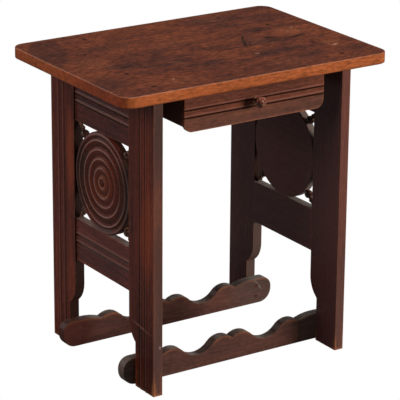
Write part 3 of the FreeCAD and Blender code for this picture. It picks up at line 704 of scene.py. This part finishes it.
def leg_finish(settings):
    """The four legs, stained along their length, with the marks of long use and painted light and shade."""
    colours = settings.colours
    stain = (colours.leg_dark, colours.leg_mid, colours.leg_light)
    marks = (red_patches, low_shade, front_arris, leg_scars, inner_edges)
    return board_finish(settings, "stile_wood", "Z", stain, (haze_sheen_and_light, leg_beads), rubbed_feet, marks)


def leg_beads(paint, tint):
    """The two beads down the outer face of a leg."""
    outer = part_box("back_left_stile")[1].y
    shown = paint.smooth(abs(paint.x), *LEG_BEAD_FACE)
    back = paint.at_back()
    # More painted shade in the quirks of the back legs
    beads = [(place, rub_and_highlight, dark + more * back) for place, rub_and_highlight, dark, more in LEG_BEADS]
    return beaded(paint, tint, abs(paint.y), outer, beads, shown)


def rubbed_feet(paint):
    """More wear on a leg's foot, fading upwards."""
    return paint.wear.foot_rub * (1 - paint.smooth(paint.z, *FOOT_RUB))


def red_patches(paint, tint):
    """Redder patches on the outer faces of the left legs."""
    loose = paint.shaken(30.0 * MM, 70.0 * MM)
    for y, z, half_wide, half_high, amount in LEG_RED:
        spot = paint.spot(loose, mm(LEG_FACE, y, z), mm(RED_REACH, half_wide, half_high))
        tint = paint.dab(tint, spot, 0.7, amount, paint.colours.leg_light)
    return tint


def low_shade(paint, tint):
    """The front legs' left faces, darker low down."""
    low = (1 - paint.smooth(paint.z, *LOW_ON_LEG)) * (1 - paint.at_back())
    return paint.shade(tint, 1 - LOW_SHADE * low * paint.looks(*LEFTWARD))


def front_arris(paint, tint):
    """The front legs' outer front arrises, rubbed pale and given a painted highlight."""
    bare_wood_and_highlight = paint.smooth(-1 * paint.y, *LEG_FRONT) * paint.smooth(abs(paint.x), *LEG_OUTSIDE)
    return paint.mix(FRONT_ARRIS_RUB_AND_HIGHLIGHT * bare_wood_and_highlight, tint, paint.colours.crest_rub_and_highlight)


def leg_scars(paint, tint):
    """A long scratch, a nick and a bare corner on the front left leg."""
    colours = paint.colours
    tint = paint.dab(tint, paint.spot(paint.place, *SCRATCH), 0.8, 0.80, colours.crest_rub_and_highlight)
    tint = paint.dab(tint, paint.spot(paint.place, *NICK), 0.6, 0.40, colours.dust_and_light)
    return paint.dab(tint, paint.spot(paint.place, *BARE_CORNER), 0.8, 0.70, colours.rubbed)


def inner_edges(paint, tint):
    """The legs' inner edges darkened, and only a grey painted sheen on those of the right feet."""
    inward = paint.smooth(-1 * paint.towards("Y") * paint.math("SIGN", paint.y), *INWARD)
    edge = inward * (1 - paint.smooth(abs(paint.y), *LEG_INNER_EDGE))
    right_foot = paint.at_right() * (1 - paint.smooth(paint.z, *FOOT_TOP))
    tint = paint.mix(INNER_EDGE_DARKENING * edge * (1 - right_foot), tint, paint.colours.grime_and_shade)
    return paint.mix(RIGHT_FOOT_SHEEN * edge * right_foot, tint, paint.colours.dull)


# Rails: their beads, counted from a rail's lower edge, and how much each rail's stain is lightened or
# darkened as painted light and shade

RAIL_BEADS = ((41.0 * MM, 0.85, 0.50), (57.6 * MM, 0.75, 0.50))
RAIL_BEAD_FACE = mm(213.5, 216.5)
RAIL_LIGHT_AND_SHADE = (("upper_rail", 0.88), ("lower_rail", 1.38))


def rail_stain(settings, lightness):
    """The dark, main and light stain of a rail, made lighter or darker as painted light and shade."""
    colours = settings.colours
    stain = (colours.rail_dark, colours.rail_mid, colours.rail_light)
    return [tuple(lightness * value for value in tint) for tint in stain]


def rail_beads(lower_edge):
    """A layer that paints the two beads along the outer face of a rail."""
    def layer(paint, tint):
        shown = paint.smooth(abs(paint.x), *RAIL_BEAD_FACE)
        return beaded(paint, tint, paint.z, lower_edge, RAIL_BEADS, shown)
    return layer


# Stretchers: how much the front one is darkened and the back one lightened as painted light and shade, and
# places along the front one where its painted shade and painted light begin and end

FRONT_PAINTED_SHADE = 0.94
BACK_PAINTED_LIGHT = 1.22
STRETCHER_SHEEN = 0.14
SHADE_START = mm(60.0, 150.0)
SHADE_END = mm(152.0, 172.0)
LEG_LIGHT_START = mm(152.0, 176.0)
LEG_LIGHT_END = mm(206.0, 222.0)
LEFT_TIP_LIGHT = mm(-236.0, -222.0)
STRETCHER_SHADE = 0.20
LEG_PAINTED_LIGHT = 0.20
HUMP_RUB = mm(38.0, 54.0)
HUMP_SHARE = 0.65

# Face of the back stretcher, in mm, and ovals on it: middle, reach along each axis and turn

BACK_FACE = 103.5
LEFT_TIP = (mm(-245.0, BACK_FACE, 30.0), mm(90.0, 60.0, 90.0))
RIGHT_TIP = (mm(240.0, BACK_FACE, 30.0), mm(120.0, 60.0, 90.0))
SCUFF_UPPER = (mm(213.4, BACK_FACE, 47.7), mm(8.5, 6.0, 1.6), (0.0, radians(33.0), 0.0))
SCUFF_LOWER = (mm(222.5, BACK_FACE, 36.8), mm(10.5, 6.0, 1.6), (0.0, radians(62.0), 0.0))


def stretcher_finish(settings):
    """Both stretchers, stained along their length, rubbed on their humps, with painted light and shade."""
    colours = settings.colours
    stain = (colours.stretcher_dark, colours.stretcher_mid, colours.stretcher_light)
    marks = (stretcher_light_and_shade, stretcher_tips)
    return board_finish(settings, "stretcher_wood", "X", stain, more=rubbed_humps, over=marks)


def rubbed_humps(paint):
    """More wear high on the humps, where feet rest."""
    return HUMP_SHARE * paint.wear.foot_rub * paint.smooth(paint.z, *HUMP_RUB)


def stretcher_light_and_shade(paint, tint):
    """Painted light and shade: the front stretcher darker than the back one, painted shade near its right
    leg and painted light by both legs, over a painted sheen of dull grey.
    """
    colours = paint.colours
    front = 1 - paint.at_back()
    # Painted light and shade: the back stretcher lighter, the front one darker
    tint = paint.shade(tint, between(BACK_PAINTED_LIGHT, FRONT_PAINTED_SHADE, front))
    # Painted sheen of dull grey
    tint = paint.mix(STRETCHER_SHEEN, tint, colours.dull)
    # Painted shade towards the right leg, softening the edge of its shadow
    darker = paint.smooth(paint.x, *SHADE_START) - paint.smooth(paint.x, *SHADE_END)
    tint = paint.shade(tint, 1 - STRETCHER_SHADE * front * darker)
    # Painted light by both legs
    by_right_leg = paint.smooth(paint.x, *LEG_LIGHT_START) - paint.smooth(paint.x, *LEG_LIGHT_END)
    by_legs = paint.most(by_right_leg, 1 - paint.smooth(paint.x, *LEFT_TIP_LIGHT))
    return paint.mix(LEG_PAINTED_LIGHT * front * by_legs, tint, colours.dust_and_light)


def stretcher_tips(paint, tint):
    """The back stretcher's dark left tip, and its right tip greyed by a painted sheen, with a curved scuff.
    """
    colours = paint.colours
    loose = paint.shaken(12.0 * MM, 40.0 * MM)
    tint = paint.dab(tint, paint.spot(loose, *LEFT_TIP), 0.6, 0.72, colours.leg_dark)
    # Painted sheen on the right tip
    tint = paint.dab(tint, paint.spot(loose, *RIGHT_TIP), 0.6, 0.35, colours.dull)
    scuff = paint.most(paint.spot(paint.place, *SCUFF_UPPER), paint.spot(paint.place, *SCUFF_LOWER))
    return paint.dab(tint, scuff, 0.5, 0.38, colours.dust_and_light)


# Roundels: distances from a disc's middle, and places along the table of its faces and its side

RING_START = 11.2 * MM
RING_PITCH = 18.3 * MM
RING_FIELD = mm(88.0, 92.0)
RIM_CREST = 96.4 * MM
RIM_LINE = mm(0.5, 3.0)
RIM_SIDE = mm(99.6, 100.3)
DISC_ENDS = mm(42.0, 92.0)
RING_FACE = mm(206.0, 212.0)
LEFT_SIDE_START = mm(-216.5, -213.5)
LEFT_SIDE_END = mm(-203.0, -202.0)

# A place where the rings' rubbed crests and painted highlights are weaker: its middle, from the disc's
# middle, and its reach

FADED_Y = -40.0 * MM
FADED_RISE = 12.0 * MM
FADED_REACH = mm(THROUGH, 62.0, 52.0)

# Shares of each layer on a disc, and of rubbed crests with painted highlights and of painted highlight lines
# at its middle and at its ends

INNER_DISC_LIGHT = 0.40
END_DARKENING = 0.78
RING_SHADE_AND_GRIME = 0.64
END_SHEEN = 0.16
CREST_MIDDLE = 0.88
CREST_ENDS = 0.32
LINE_MIDDLE = 0.14
LINE_ENDS = 0.04
FADED_CREST = 0.30
LEFT_SIDE_SHADE = 0.85
RIGHT_SIDE_LIGHT = 0.36


def roundel_finish(settings):
    """The turned discs, redder towards the middle, with rubbed ring crests, painted highlights and painted
    shade.
    """
    paint = Paint("roundel_wood", settings)
    colours = paint.colours
    grain = Grain(paint, "Y", (0.13, 0.57, 0.31))
    lowest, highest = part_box("left_roundel")
    middle = (lowest.z + highest.z) / 2
    radius = (highest.z - lowest.z) / 2
    spot = paint.spot(paint.shaken(14.0 * MM, 50.0 * MM), (0.0, 0.0, middle), (MM * THROUGH, radius, radius))
    tint = stained(paint, grain, (colours.turned_dark, colours.turned_mid, colours.turned_light))
    tint = paint.dab(tint, spot, 0.7, 0.7, colours.turned_light)
    tint = paint.mix(0.20 * paint.smooth(spot, 0.55, 0.95), tint, colours.rubbed)
    tint = haze_sheen_and_light(paint, tint)
    # Painted light on the disc's inner face
    tint = paint.mix(INNER_DISC_LIGHT * inner_face(paint), tint, colours.ring_rub_and_highlight)
    height = paint.z - middle
    distance = (paint.y * paint.y + height * height) ** 0.5
    tint = ringed(paint, tint, distance, middle)
    tint = disc_side(paint, tint, distance)
    tint = worn(paint, tint)
    return paint.done(tint, satin(paint, grain), grain.height, paint.wear.pore_depth, shine=0.17)


def ringed(paint, tint, distance, middle):
    """Ring crests rubbed to a grey brown with painted highlights, and hollows with painted shade and grime,
    where crests lie a pitch apart.

    The distance from the disc's middle is the root of the sum of y squared and height squared,
    and the cosine of that distance counted in pitches is 1 on a crest and -1 in a hollow.
    """
    colours = paint.colours
    wave = paint.math("COSINE", (distance - RING_START) * (2 * pi / RING_PITCH))
    shown = paint.smooth(abs(paint.x), *RING_FACE)
    inside = 1 - paint.smooth(distance, *RING_FIELD)
    ends = paint.smooth(abs(paint.y), *DISC_ENDS)
    # Darker towards the disc's front and back ends
    tint = paint.mix(END_DARKENING * shown * ends, tint, colours.grime_and_shade)
    hollows = inside * paint.smooth(-1 * wave, -0.4, 0.8)
    # Painted shade and grime in the ring hollows
    tint = paint.mix(RING_SHADE_AND_GRIME * shown * hollows, tint, colours.grime_and_shade)
    place = (0.0, FADED_Y, middle + FADED_RISE)
    faded = paint.spot(paint.shaken(10.0 * MM, 30.0 * MM), place, FADED_REACH)
    # Share of rubbed wood and painted highlight on the crests, less in one place
    rubbed = shown * between(1.0, FADED_CREST, paint.smooth(faded, 0.0, 0.5))
    rim = paint.line(distance - RIM_CREST, *RIM_LINE)
    crests = paint.most(inside * paint.smooth(wave, 0.60, 1.0), rim)
    tint = paint.mix(between(CREST_MIDDLE, CREST_ENDS, ends) * rubbed * crests, tint, colours.ring_rub_and_highlight)
    # Painted sheen towards the ends
    tint = paint.mix(END_SHEEN * shown * ends, tint, colours.dull)
    # Thin painted highlight lines on the crests
    lines = inside * paint.smooth(wave, 0.84, 1.0)
    return paint.mix(between(LINE_MIDDLE, LINE_ENDS, ends) * rubbed * lines, tint, colours.bare_wood_and_highlight)


def disc_side(paint, tint, distance):
    """Painted shade round the left disc's side, between its two faces, and painted light round the right
    disc's.
    """
    side = paint.smooth(distance, *RIM_SIDE)
    left = paint.smooth(paint.x, *LEFT_SIDE_START) * (1 - paint.smooth(paint.x, *LEFT_SIDE_END))
    tint = paint.mix(LEFT_SIDE_SHADE * left * side, tint, paint.colours.grime_and_shade)
    return paint.mix(RIGHT_SIDE_LIGHT * paint.at_right() * side, tint, paint.colours.dust_and_light)


# Finials and knob: size of their painted highlight specks, wear on all high places, and share of highlight
# specks on each

HIGHLIGHT_SPECK = 5.0 * MM
TURNING_RUB = 0.12
FINIAL_HIGHLIGHTS = 0.35
KNOB_HIGHLIGHTS = 0.50


def small_turned_finish(settings, name, axis, stain, rub_and_highlight):
    """Finials and knob: dark stain, with painted highlight specks on high places by the given amount."""
    paint = Paint(name, settings)
    grain = Grain(paint, axis, (0.91, 0.07, 0.53))
    tint = stained(paint, grain, stain)
    tint = worn(paint, tint, TURNING_RUB)
    highlight_specks = paint.smooth(paint.speckle(HIGHLIGHT_SPECK, 2.0), 0.46, 0.60)
    high = paint.smooth(paint.near_edge(BROAD_RUB * paint.wear.rub_reach), 0.10, 0.36)
    tint = paint.mix(rub_and_highlight * high * highlight_specks, tint, paint.colours.bare_wood_and_highlight)
    return paint.done(tint, bright(paint, grain), grain.height, paint.wear.pore_depth, shine=0.32)


# Drawer: its beads, counted from the front's lower edge, and places and shares on its front and sides

DRAWER_BEADS = ((32.1 * MM, 0.55, 0.85), (46.5 * MM, 0.45, 0.45))
DRAWER_BEAD_FACE = mm(185.0, 188.0)
BELOW_BEADS = mm(538.0, 546.0)
DRAWER_ARRIS = mm(516.6, 519.0)
BOX_OUTSIDE = mm(152.6, 152.9)
BELOW_SHEEN = 0.20
DRAWER_ARRIS_BARE = 0.40
OUTSIDE_SHADE = 0.60


def drawer_front_finish(settings):
    """The drawer's front, a little paler than the frame, with a painted sheen below its rubbed beads."""
    paint = Paint("drawer_wood", settings)
    colours = paint.colours
    grain = Grain(paint, "X", (0.71, 0.43, 0.19))
    tint = stained(paint, grain, (colours.drawer_dark, colours.drawer_mid, colours.drawer_light))
    below = 1 - paint.smooth(paint.z, *BELOW_BEADS)
    # Painted sheen of dull grey below the beads
    tint = paint.mix(BELOW_SHEEN * below, tint, colours.dull)
    lower_edge = 1 - paint.smooth(paint.z, *DRAWER_ARRIS)
    tint = paint.mix(DRAWER_ARRIS_BARE * lower_edge, tint, colours.crest_rub_and_highlight)
    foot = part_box("drawer_front")[0].z
    shown = paint.smooth(-1 * paint.y, *DRAWER_BEAD_FACE)
    tint = beaded(paint, tint, paint.z, foot, DRAWER_BEADS, shown)
    tint = worn(paint, tint)
    return paint.done(tint, bright(paint, grain), grain.height, paint.wear.pore_depth, shine=0.12)


def box_finish(settings, name, axis):
    """Plain inner wood, thinly stained, with long pale and dark streaks, and painted shade outside the
    drawer.
    """
    paint = Paint(name, settings)
    colours = paint.colours
    grain = Grain(paint, axis, (0.29, 0.83, 0.61))
    tone = 0.5 * grain.bands + 0.5 * grain.streaks
    tint = paint.mix(paint.smooth(tone, 0.36, 0.62), colours.box_dark, colours.box_light)
    tint = paint.shade(tint, (0.85 + 0.3 * grain.fibres) * (1 - PORE_SHADE * grain.pores))
    outside = paint.smooth(abs(paint.x), *BOX_OUTSIDE)
    # Painted shade of dull grey on the outer faces of the drawer box
    tint = paint.mix(OUTSIDE_SHADE * outside, tint, colours.dull)
    tint = worn(paint, tint)
    rough = 0.58 + 0.2 * (grain.streaks - 0.5) + 0.2 * grain.pores
    return paint.done(tint, rough, grain.height, paint.wear.pore_depth, shine=0.5)


# Plugs, screws and nails: widths of the marks in them and depths of their bumps

PLUG_RING_PITCH = 0.9 * MM
PLUG_LENGTH = 40.0 * MM
RUST_PATCH = 2.5 * MM
STEEL_PIT = 0.5 * MM
PLUG_BUMP = 0.05 * MM
STEEL_BUMP = 0.02 * MM


def plug_finish(settings):
    """Plugs: end grain with small rings, stained darker than the top."""
    paint = Paint("plug_wood", settings)
    rings = paint.noise(paint.laid("Z", PLUG_LENGTH, PLUG_RING_PITCH), 2.0, 0.5, 0.4)
    tint = paint.shade(paint.colours.plug, 0.6 + 0.9 * rings)
    return paint.done(tint, paint.wear.gloss + 0.1 * rings, rings, PLUG_BUMP, shine=0.15)


def steel_finish(settings):
    """Screws and nails: dull steel with brown bloom."""
    paint = Paint("steel", settings)
    rust = paint.smooth(paint.speckle(RUST_PATCH, 4.0), 0.45, 0.65)
    pits = paint.speckle(STEEL_PIT, 2.0, 0.5)
    tint = paint.mix(rust, paint.colours.steel, paint.colours.rust)
    return paint.done(tint, 0.36 + 0.35 * rust, pits, STEEL_BUMP, Metallic=0.85 - 0.75 * rust)


def stained_screw_finish(settings):
    """Screw heads that were stained over with the wood round them."""
    paint = Paint("stained_screws", settings)
    cover = paint.noise(paint.laid("X", 6.0 * MM, 2.0 * MM), 3.0, 0.6)
    tint = paint.mix(cover, paint.colours.stretcher_dark, paint.colours.stretcher_mid)
    return paint.done(tint, 0.42 + 0.2 * cover, cover, PLUG_BUMP)


# Operators, one for each piece or group of like pieces


def dress(finish, *names):
    """Gives a finish to the CAD nodes of these names."""
    for name in names:
        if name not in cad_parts:
            raise RuntimeError(f"the frame has no node named {name}")
        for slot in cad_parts[name].material_slots:
            slot.material = finish


def at_both_ends(*names):
    """Each name for the left end and for the right end."""
    return [f"{end}_{name}" for name in names for end in ("left", "right")]


class TAVERN_OT_top(Operator):
    """Stain the table top and rub its edge"""

    bl_idname = "tavern.top"
    bl_label = "Table Top"

    def execute(self, context):
        dress(top_finish(context.scene.tavern_table), "table_top")
        return {"FINISHED"}


class TAVERN_OT_stiles(Operator):
    """Stain the four legs along their length"""

    bl_idname = "tavern.stiles"
    bl_label = "Legs"

    def execute(self, context):
        finish = leg_finish(context.scene.tavern_table)
        dress(finish, "front_left_stile", "front_right_stile", "back_left_stile", "back_right_stile")
        return {"FINISHED"}


class TAVERN_OT_rails(Operator):
    """Stain the rails of both ends and the back rail"""

    bl_idname = "tavern.rails"
    bl_label = "Rails"

    def execute(self, context):
        settings = context.scene.tavern_table
        for rail, lightness in RAIL_LIGHT_AND_SHADE:
            stain = rail_stain(settings, lightness)
            beads = rail_beads(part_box(f"left_{rail}")[0].z)
            dress(board_finish(settings, f"{rail}_wood", "Y", stain, (haze_sheen_and_light, beads)), *at_both_ends(rail))
        dress(board_finish(settings, "back_rail_wood", "X", rail_stain(settings, 1.0)), "back_rail")
        return {"FINISHED"}


class TAVERN_OT_stretchers(Operator):
    """Stain both scalloped stretchers and rub their humps"""

    bl_idname = "tavern.stretchers"
    bl_label = "Stretchers"

    def execute(self, context):
        dress(stretcher_finish(context.scene.tavern_table), "front_stretcher", "back_stretcher")
        return {"FINISHED"}


class TAVERN_OT_roundels(Operator):
    """Stain the turned discs of both ends"""

    bl_idname = "tavern.roundels"
    bl_label = "Roundels"

    def execute(self, context):
        dress(roundel_finish(context.scene.tavern_table), *at_both_ends("roundel"))
        return {"FINISHED"}


class TAVERN_OT_small_turnings(Operator):
    """Stain the corner finials and the drawer's knob"""

    bl_idname = "tavern.small_turnings"
    bl_label = "Finials and Knob"

    def execute(self, context):
        settings = context.scene.tavern_table
        colours = settings.colours
        dark = (colours.grime_and_shade, colours.turned_dark, colours.turned_mid)
        red = (colours.turned_dark, colours.turned_light, colours.rubbed)
        finish = small_turned_finish(settings, "finial_wood", "Z", dark, FINIAL_HIGHLIGHTS)
        dress(finish, *at_both_ends("corner_finials"))
        dress(small_turned_finish(settings, "knob_wood", "Y", red, KNOB_HIGHLIGHTS), "drawer_knob")
        return {"FINISHED"}


class TAVERN_OT_drawer_front(Operator):
    """Stain the drawer's beaded front"""

    bl_idname = "tavern.drawer_front"
    bl_label = "Drawer Front"

    def execute(self, context):
        dress(drawer_front_finish(context.scene.tavern_table), "drawer_front")
        return {"FINISHED"}


class TAVERN_OT_drawer_box(Operator):
    """Finish the plain wood of the drawer's box, of what carries it and of the roundels' dowels"""

    bl_idname = "tavern.drawer_box"
    bl_label = "Drawer Box and Hangers"

    def execute(self, context):
        settings = context.scene.tavern_table
        lengthways = box_finish(settings, "box_wood_lengthways", "Y")
        crossways = box_finish(settings, "box_wood_crossways", "X")
        dress(lengthways, "drawer_left_side", "drawer_right_side", "drawer_left_lip", "drawer_right_lip")
        dress(lengthways, *at_both_ends("drawer_hanger"))
        dress(crossways, "drawer_back", "drawer_bottom", "drawer_stop")
        dress(crossways, *at_both_ends("roundel_dowels"))
        return {"FINISHED"}


class TAVERN_OT_plugs(Operator):
    """Finish the plugs over the screws of the top"""

    bl_idname = "tavern.plugs"
    bl_label = "Plugs"

    def execute(self, context):
        dress(plug_finish(context.scene.tavern_table), *at_both_ends("top_plugs"))
        return {"FINISHED"}


class TAVERN_OT_fasteners(Operator):
    """Finish the screws and nails"""

    bl_idname = "tavern.fasteners"
    bl_label = "Screws and Nails"

    def execute(self, context):
        settings = context.scene.tavern_table
        steel = steel_finish(settings)
        dress(steel, *at_both_ends("top_screws", "hanger_screws"))
        dress(steel, "drawer_stop_screw", "drawer_side_nails", "drawer_bottom_nails", "knob_screw")
        dress(stained_screw_finish(settings), "front_stretcher_screws", "back_stretcher_screws")
        return {"FINISHED"}


# Studio

TABLE_MIDDLE = Vector((0.0, 0.0, 0.35))
FLOOR_REACH = 20.0
FLOOR_GREY = (0.14, 0.14, 0.14, 1.0)
SENSOR_WIDTH = 36.0
VIEW_END = 100.0


class TAVERN_OT_studio(Operator):
    """Lay a plain pale floor, hang soft lights and set up the camera"""

    bl_idname = "tavern.studio"
    bl_label = "Studio"

    def execute(self, context):
        studio = context.scene.tavern_table.studio
        scene = context.scene
        scene.view_settings.view_transform = "Standard"
        scene.world = room(studio)
        pale_floor(scene)
        front = soft_light(scene, "front_light", studio.key, place=(3.50, -3.60, 1.15), size=(2.0, 1.8))
        side = soft_light(scene, "side_light", studio.fill, place=(-3.0, -0.3, 1.8), size=(1.6, 1.6))
        # Seen from the far side, the top would mirror these two low lights and turn white
        for low in (front, side):
            low.visible_glossy = False
        soft_light(scene, "back_light", studio.back, place=(-1.9, 2.8, 1.5), size=(2.4, 2.4))
        soft_light(scene, "overhead_light", studio.overhead, place=(0.3, -0.3, 3.2), size=(1.8, 1.8))
        scene.camera = photo_camera(scene, studio)
        return {"FINISHED"}


def room(studio):
    """A plain room: white where the camera looks at it, dim where it lights the table."""
    world = bpy.data.worlds.new("plain_room")
    shader = Shader(world)
    seen = shader.node("ShaderNodeLightPath", out="Is Camera Ray")
    walls = shader.mix(seen, (studio.sky, studio.sky, studio.sky), WHITE)
    light = shader.node("ShaderNodeBackground", sockets={"Color": walls})
    shader.node("ShaderNodeOutputWorld", sockets={"Surface": light})
    return world


def pale_floor(scene):
    """A wide level floor, white to the camera and a dull grey to the light that falls on it."""
    mesh = bpy.data.meshes.new("floor")
    reach = FLOOR_REACH
    corners = [(-reach, -reach, 0.0), (reach, -reach, 0.0), (reach, reach, 0.0), (-reach, reach, 0.0)]
    mesh.from_pydata(corners, [], [(0, 1, 2, 3)])
    floor = bpy.data.objects.new("floor", mesh)
    scene.collection.objects.link(floor)
    finish = bpy.data.materials.new("pale_floor")
    shader = Shader(finish)
    dull = shader.node("ShaderNodeBsdfDiffuse", sockets={"Color": FLOOR_GREY})
    white = shader.node("ShaderNodeEmission", sockets={"Color": WHITE})
    seen = shader.node("ShaderNodeLightPath", out="Is Camera Ray")
    both = shader.node("ShaderNodeMixShader", sockets={0: seen, 1: dull, 2: white})
    shader.node("ShaderNodeOutputMaterial", sockets={"Surface": both})
    mesh.materials.append(finish)
    return floor


def soft_light(scene, name, watts, place, size):
    """A wide soft light that faces the middle of the table."""
    light = bpy.data.lights.new(name, "AREA")
    light.shape = "RECTANGLE"
    light.size, light.size_y = size
    light.energy = watts
    lamp = bpy.data.objects.new(name, light)
    lamp.location = place
    lamp.rotation_euler = (TABLE_MIDDLE - Vector(place)).to_track_quat("-Z", "Y").to_euler()
    scene.collection.objects.link(lamp)
    return lamp


def photo_camera(scene, studio):
    """A long lens that looks down on the table's front and left end."""
    data = bpy.data.cameras.new("camera")
    data.lens = studio.lens
    data.sensor_width = SENSOR_WIDTH
    data.clip_end = VIEW_END
    camera = bpy.data.objects.new("camera", data)
    turn = Matrix.Rotation(-studio.camera_turn, 4, "Z")
    dip = Matrix.Rotation(pi / 2 - studio.camera_dip, 4, "X")
    roll = Matrix.Rotation(studio.camera_roll, 4, "Z")
    camera.matrix_world = Matrix.Translation(studio.camera_place) @ turn @ dip @ roll
    scene.collection.objects.link(camera)
    return camera


# Panel and start

PIECES = (
    TAVERN_OT_top,
    TAVERN_OT_stiles,
    TAVERN_OT_rails,
    TAVERN_OT_stretchers,
    TAVERN_OT_roundels,
    TAVERN_OT_small_turnings,
    TAVERN_OT_drawer_front,
    TAVERN_OT_drawer_box,
    TAVERN_OT_plugs,
    TAVERN_OT_fasteners,
    TAVERN_OT_studio,
)


class TAVERN_PT_table(Panel):
    """Lists the table's pieces and its settings"""

    bl_idname = "TAVERN_PT_table"
    bl_label = "Tavern Table"
    bl_space_type = "VIEW_3D"
    bl_region_type = "UI"
    bl_category = "Table"

    def draw(self, context):
        settings = context.scene.tavern_table
        for piece in PIECES:
            self.layout.operator(piece.bl_idname)
        for group in (settings.colours, settings.wear, settings.studio):
            box = self.layout.box()
            for name in group.__annotations__:
                box.prop(group, name)


CLASSES = (TableColours, TableWear, TableStudio, TavernTable, *PIECES, TAVERN_PT_table)


def register():
    """Adds the classes and the scene's settings."""
    for kind in CLASSES:
        bpy.utils.register_class(kind)
    bpy.types.Scene.tavern_table = PointerProperty(type=TavernTable)


def unregister():
    """Takes the settings and the classes away again."""
    del bpy.types.Scene.tavern_table
    for kind in reversed(CLASSES):
        bpy.utils.unregister_class(kind)


def main():
    """Registers the classes and makes every piece in order."""
    register()
    bpy.ops.tavern.top()
    bpy.ops.tavern.stiles()
    bpy.ops.tavern.rails()
    bpy.ops.tavern.stretchers()
    bpy.ops.tavern.roundels()
    bpy.ops.tavern.small_turnings()
    bpy.ops.tavern.drawer_front()
    bpy.ops.tavern.drawer_box()
    bpy.ops.tavern.plugs()
    bpy.ops.tavern.fasteners()
    bpy.ops.tavern.studio()


if __name__ == "__main__":
    main()
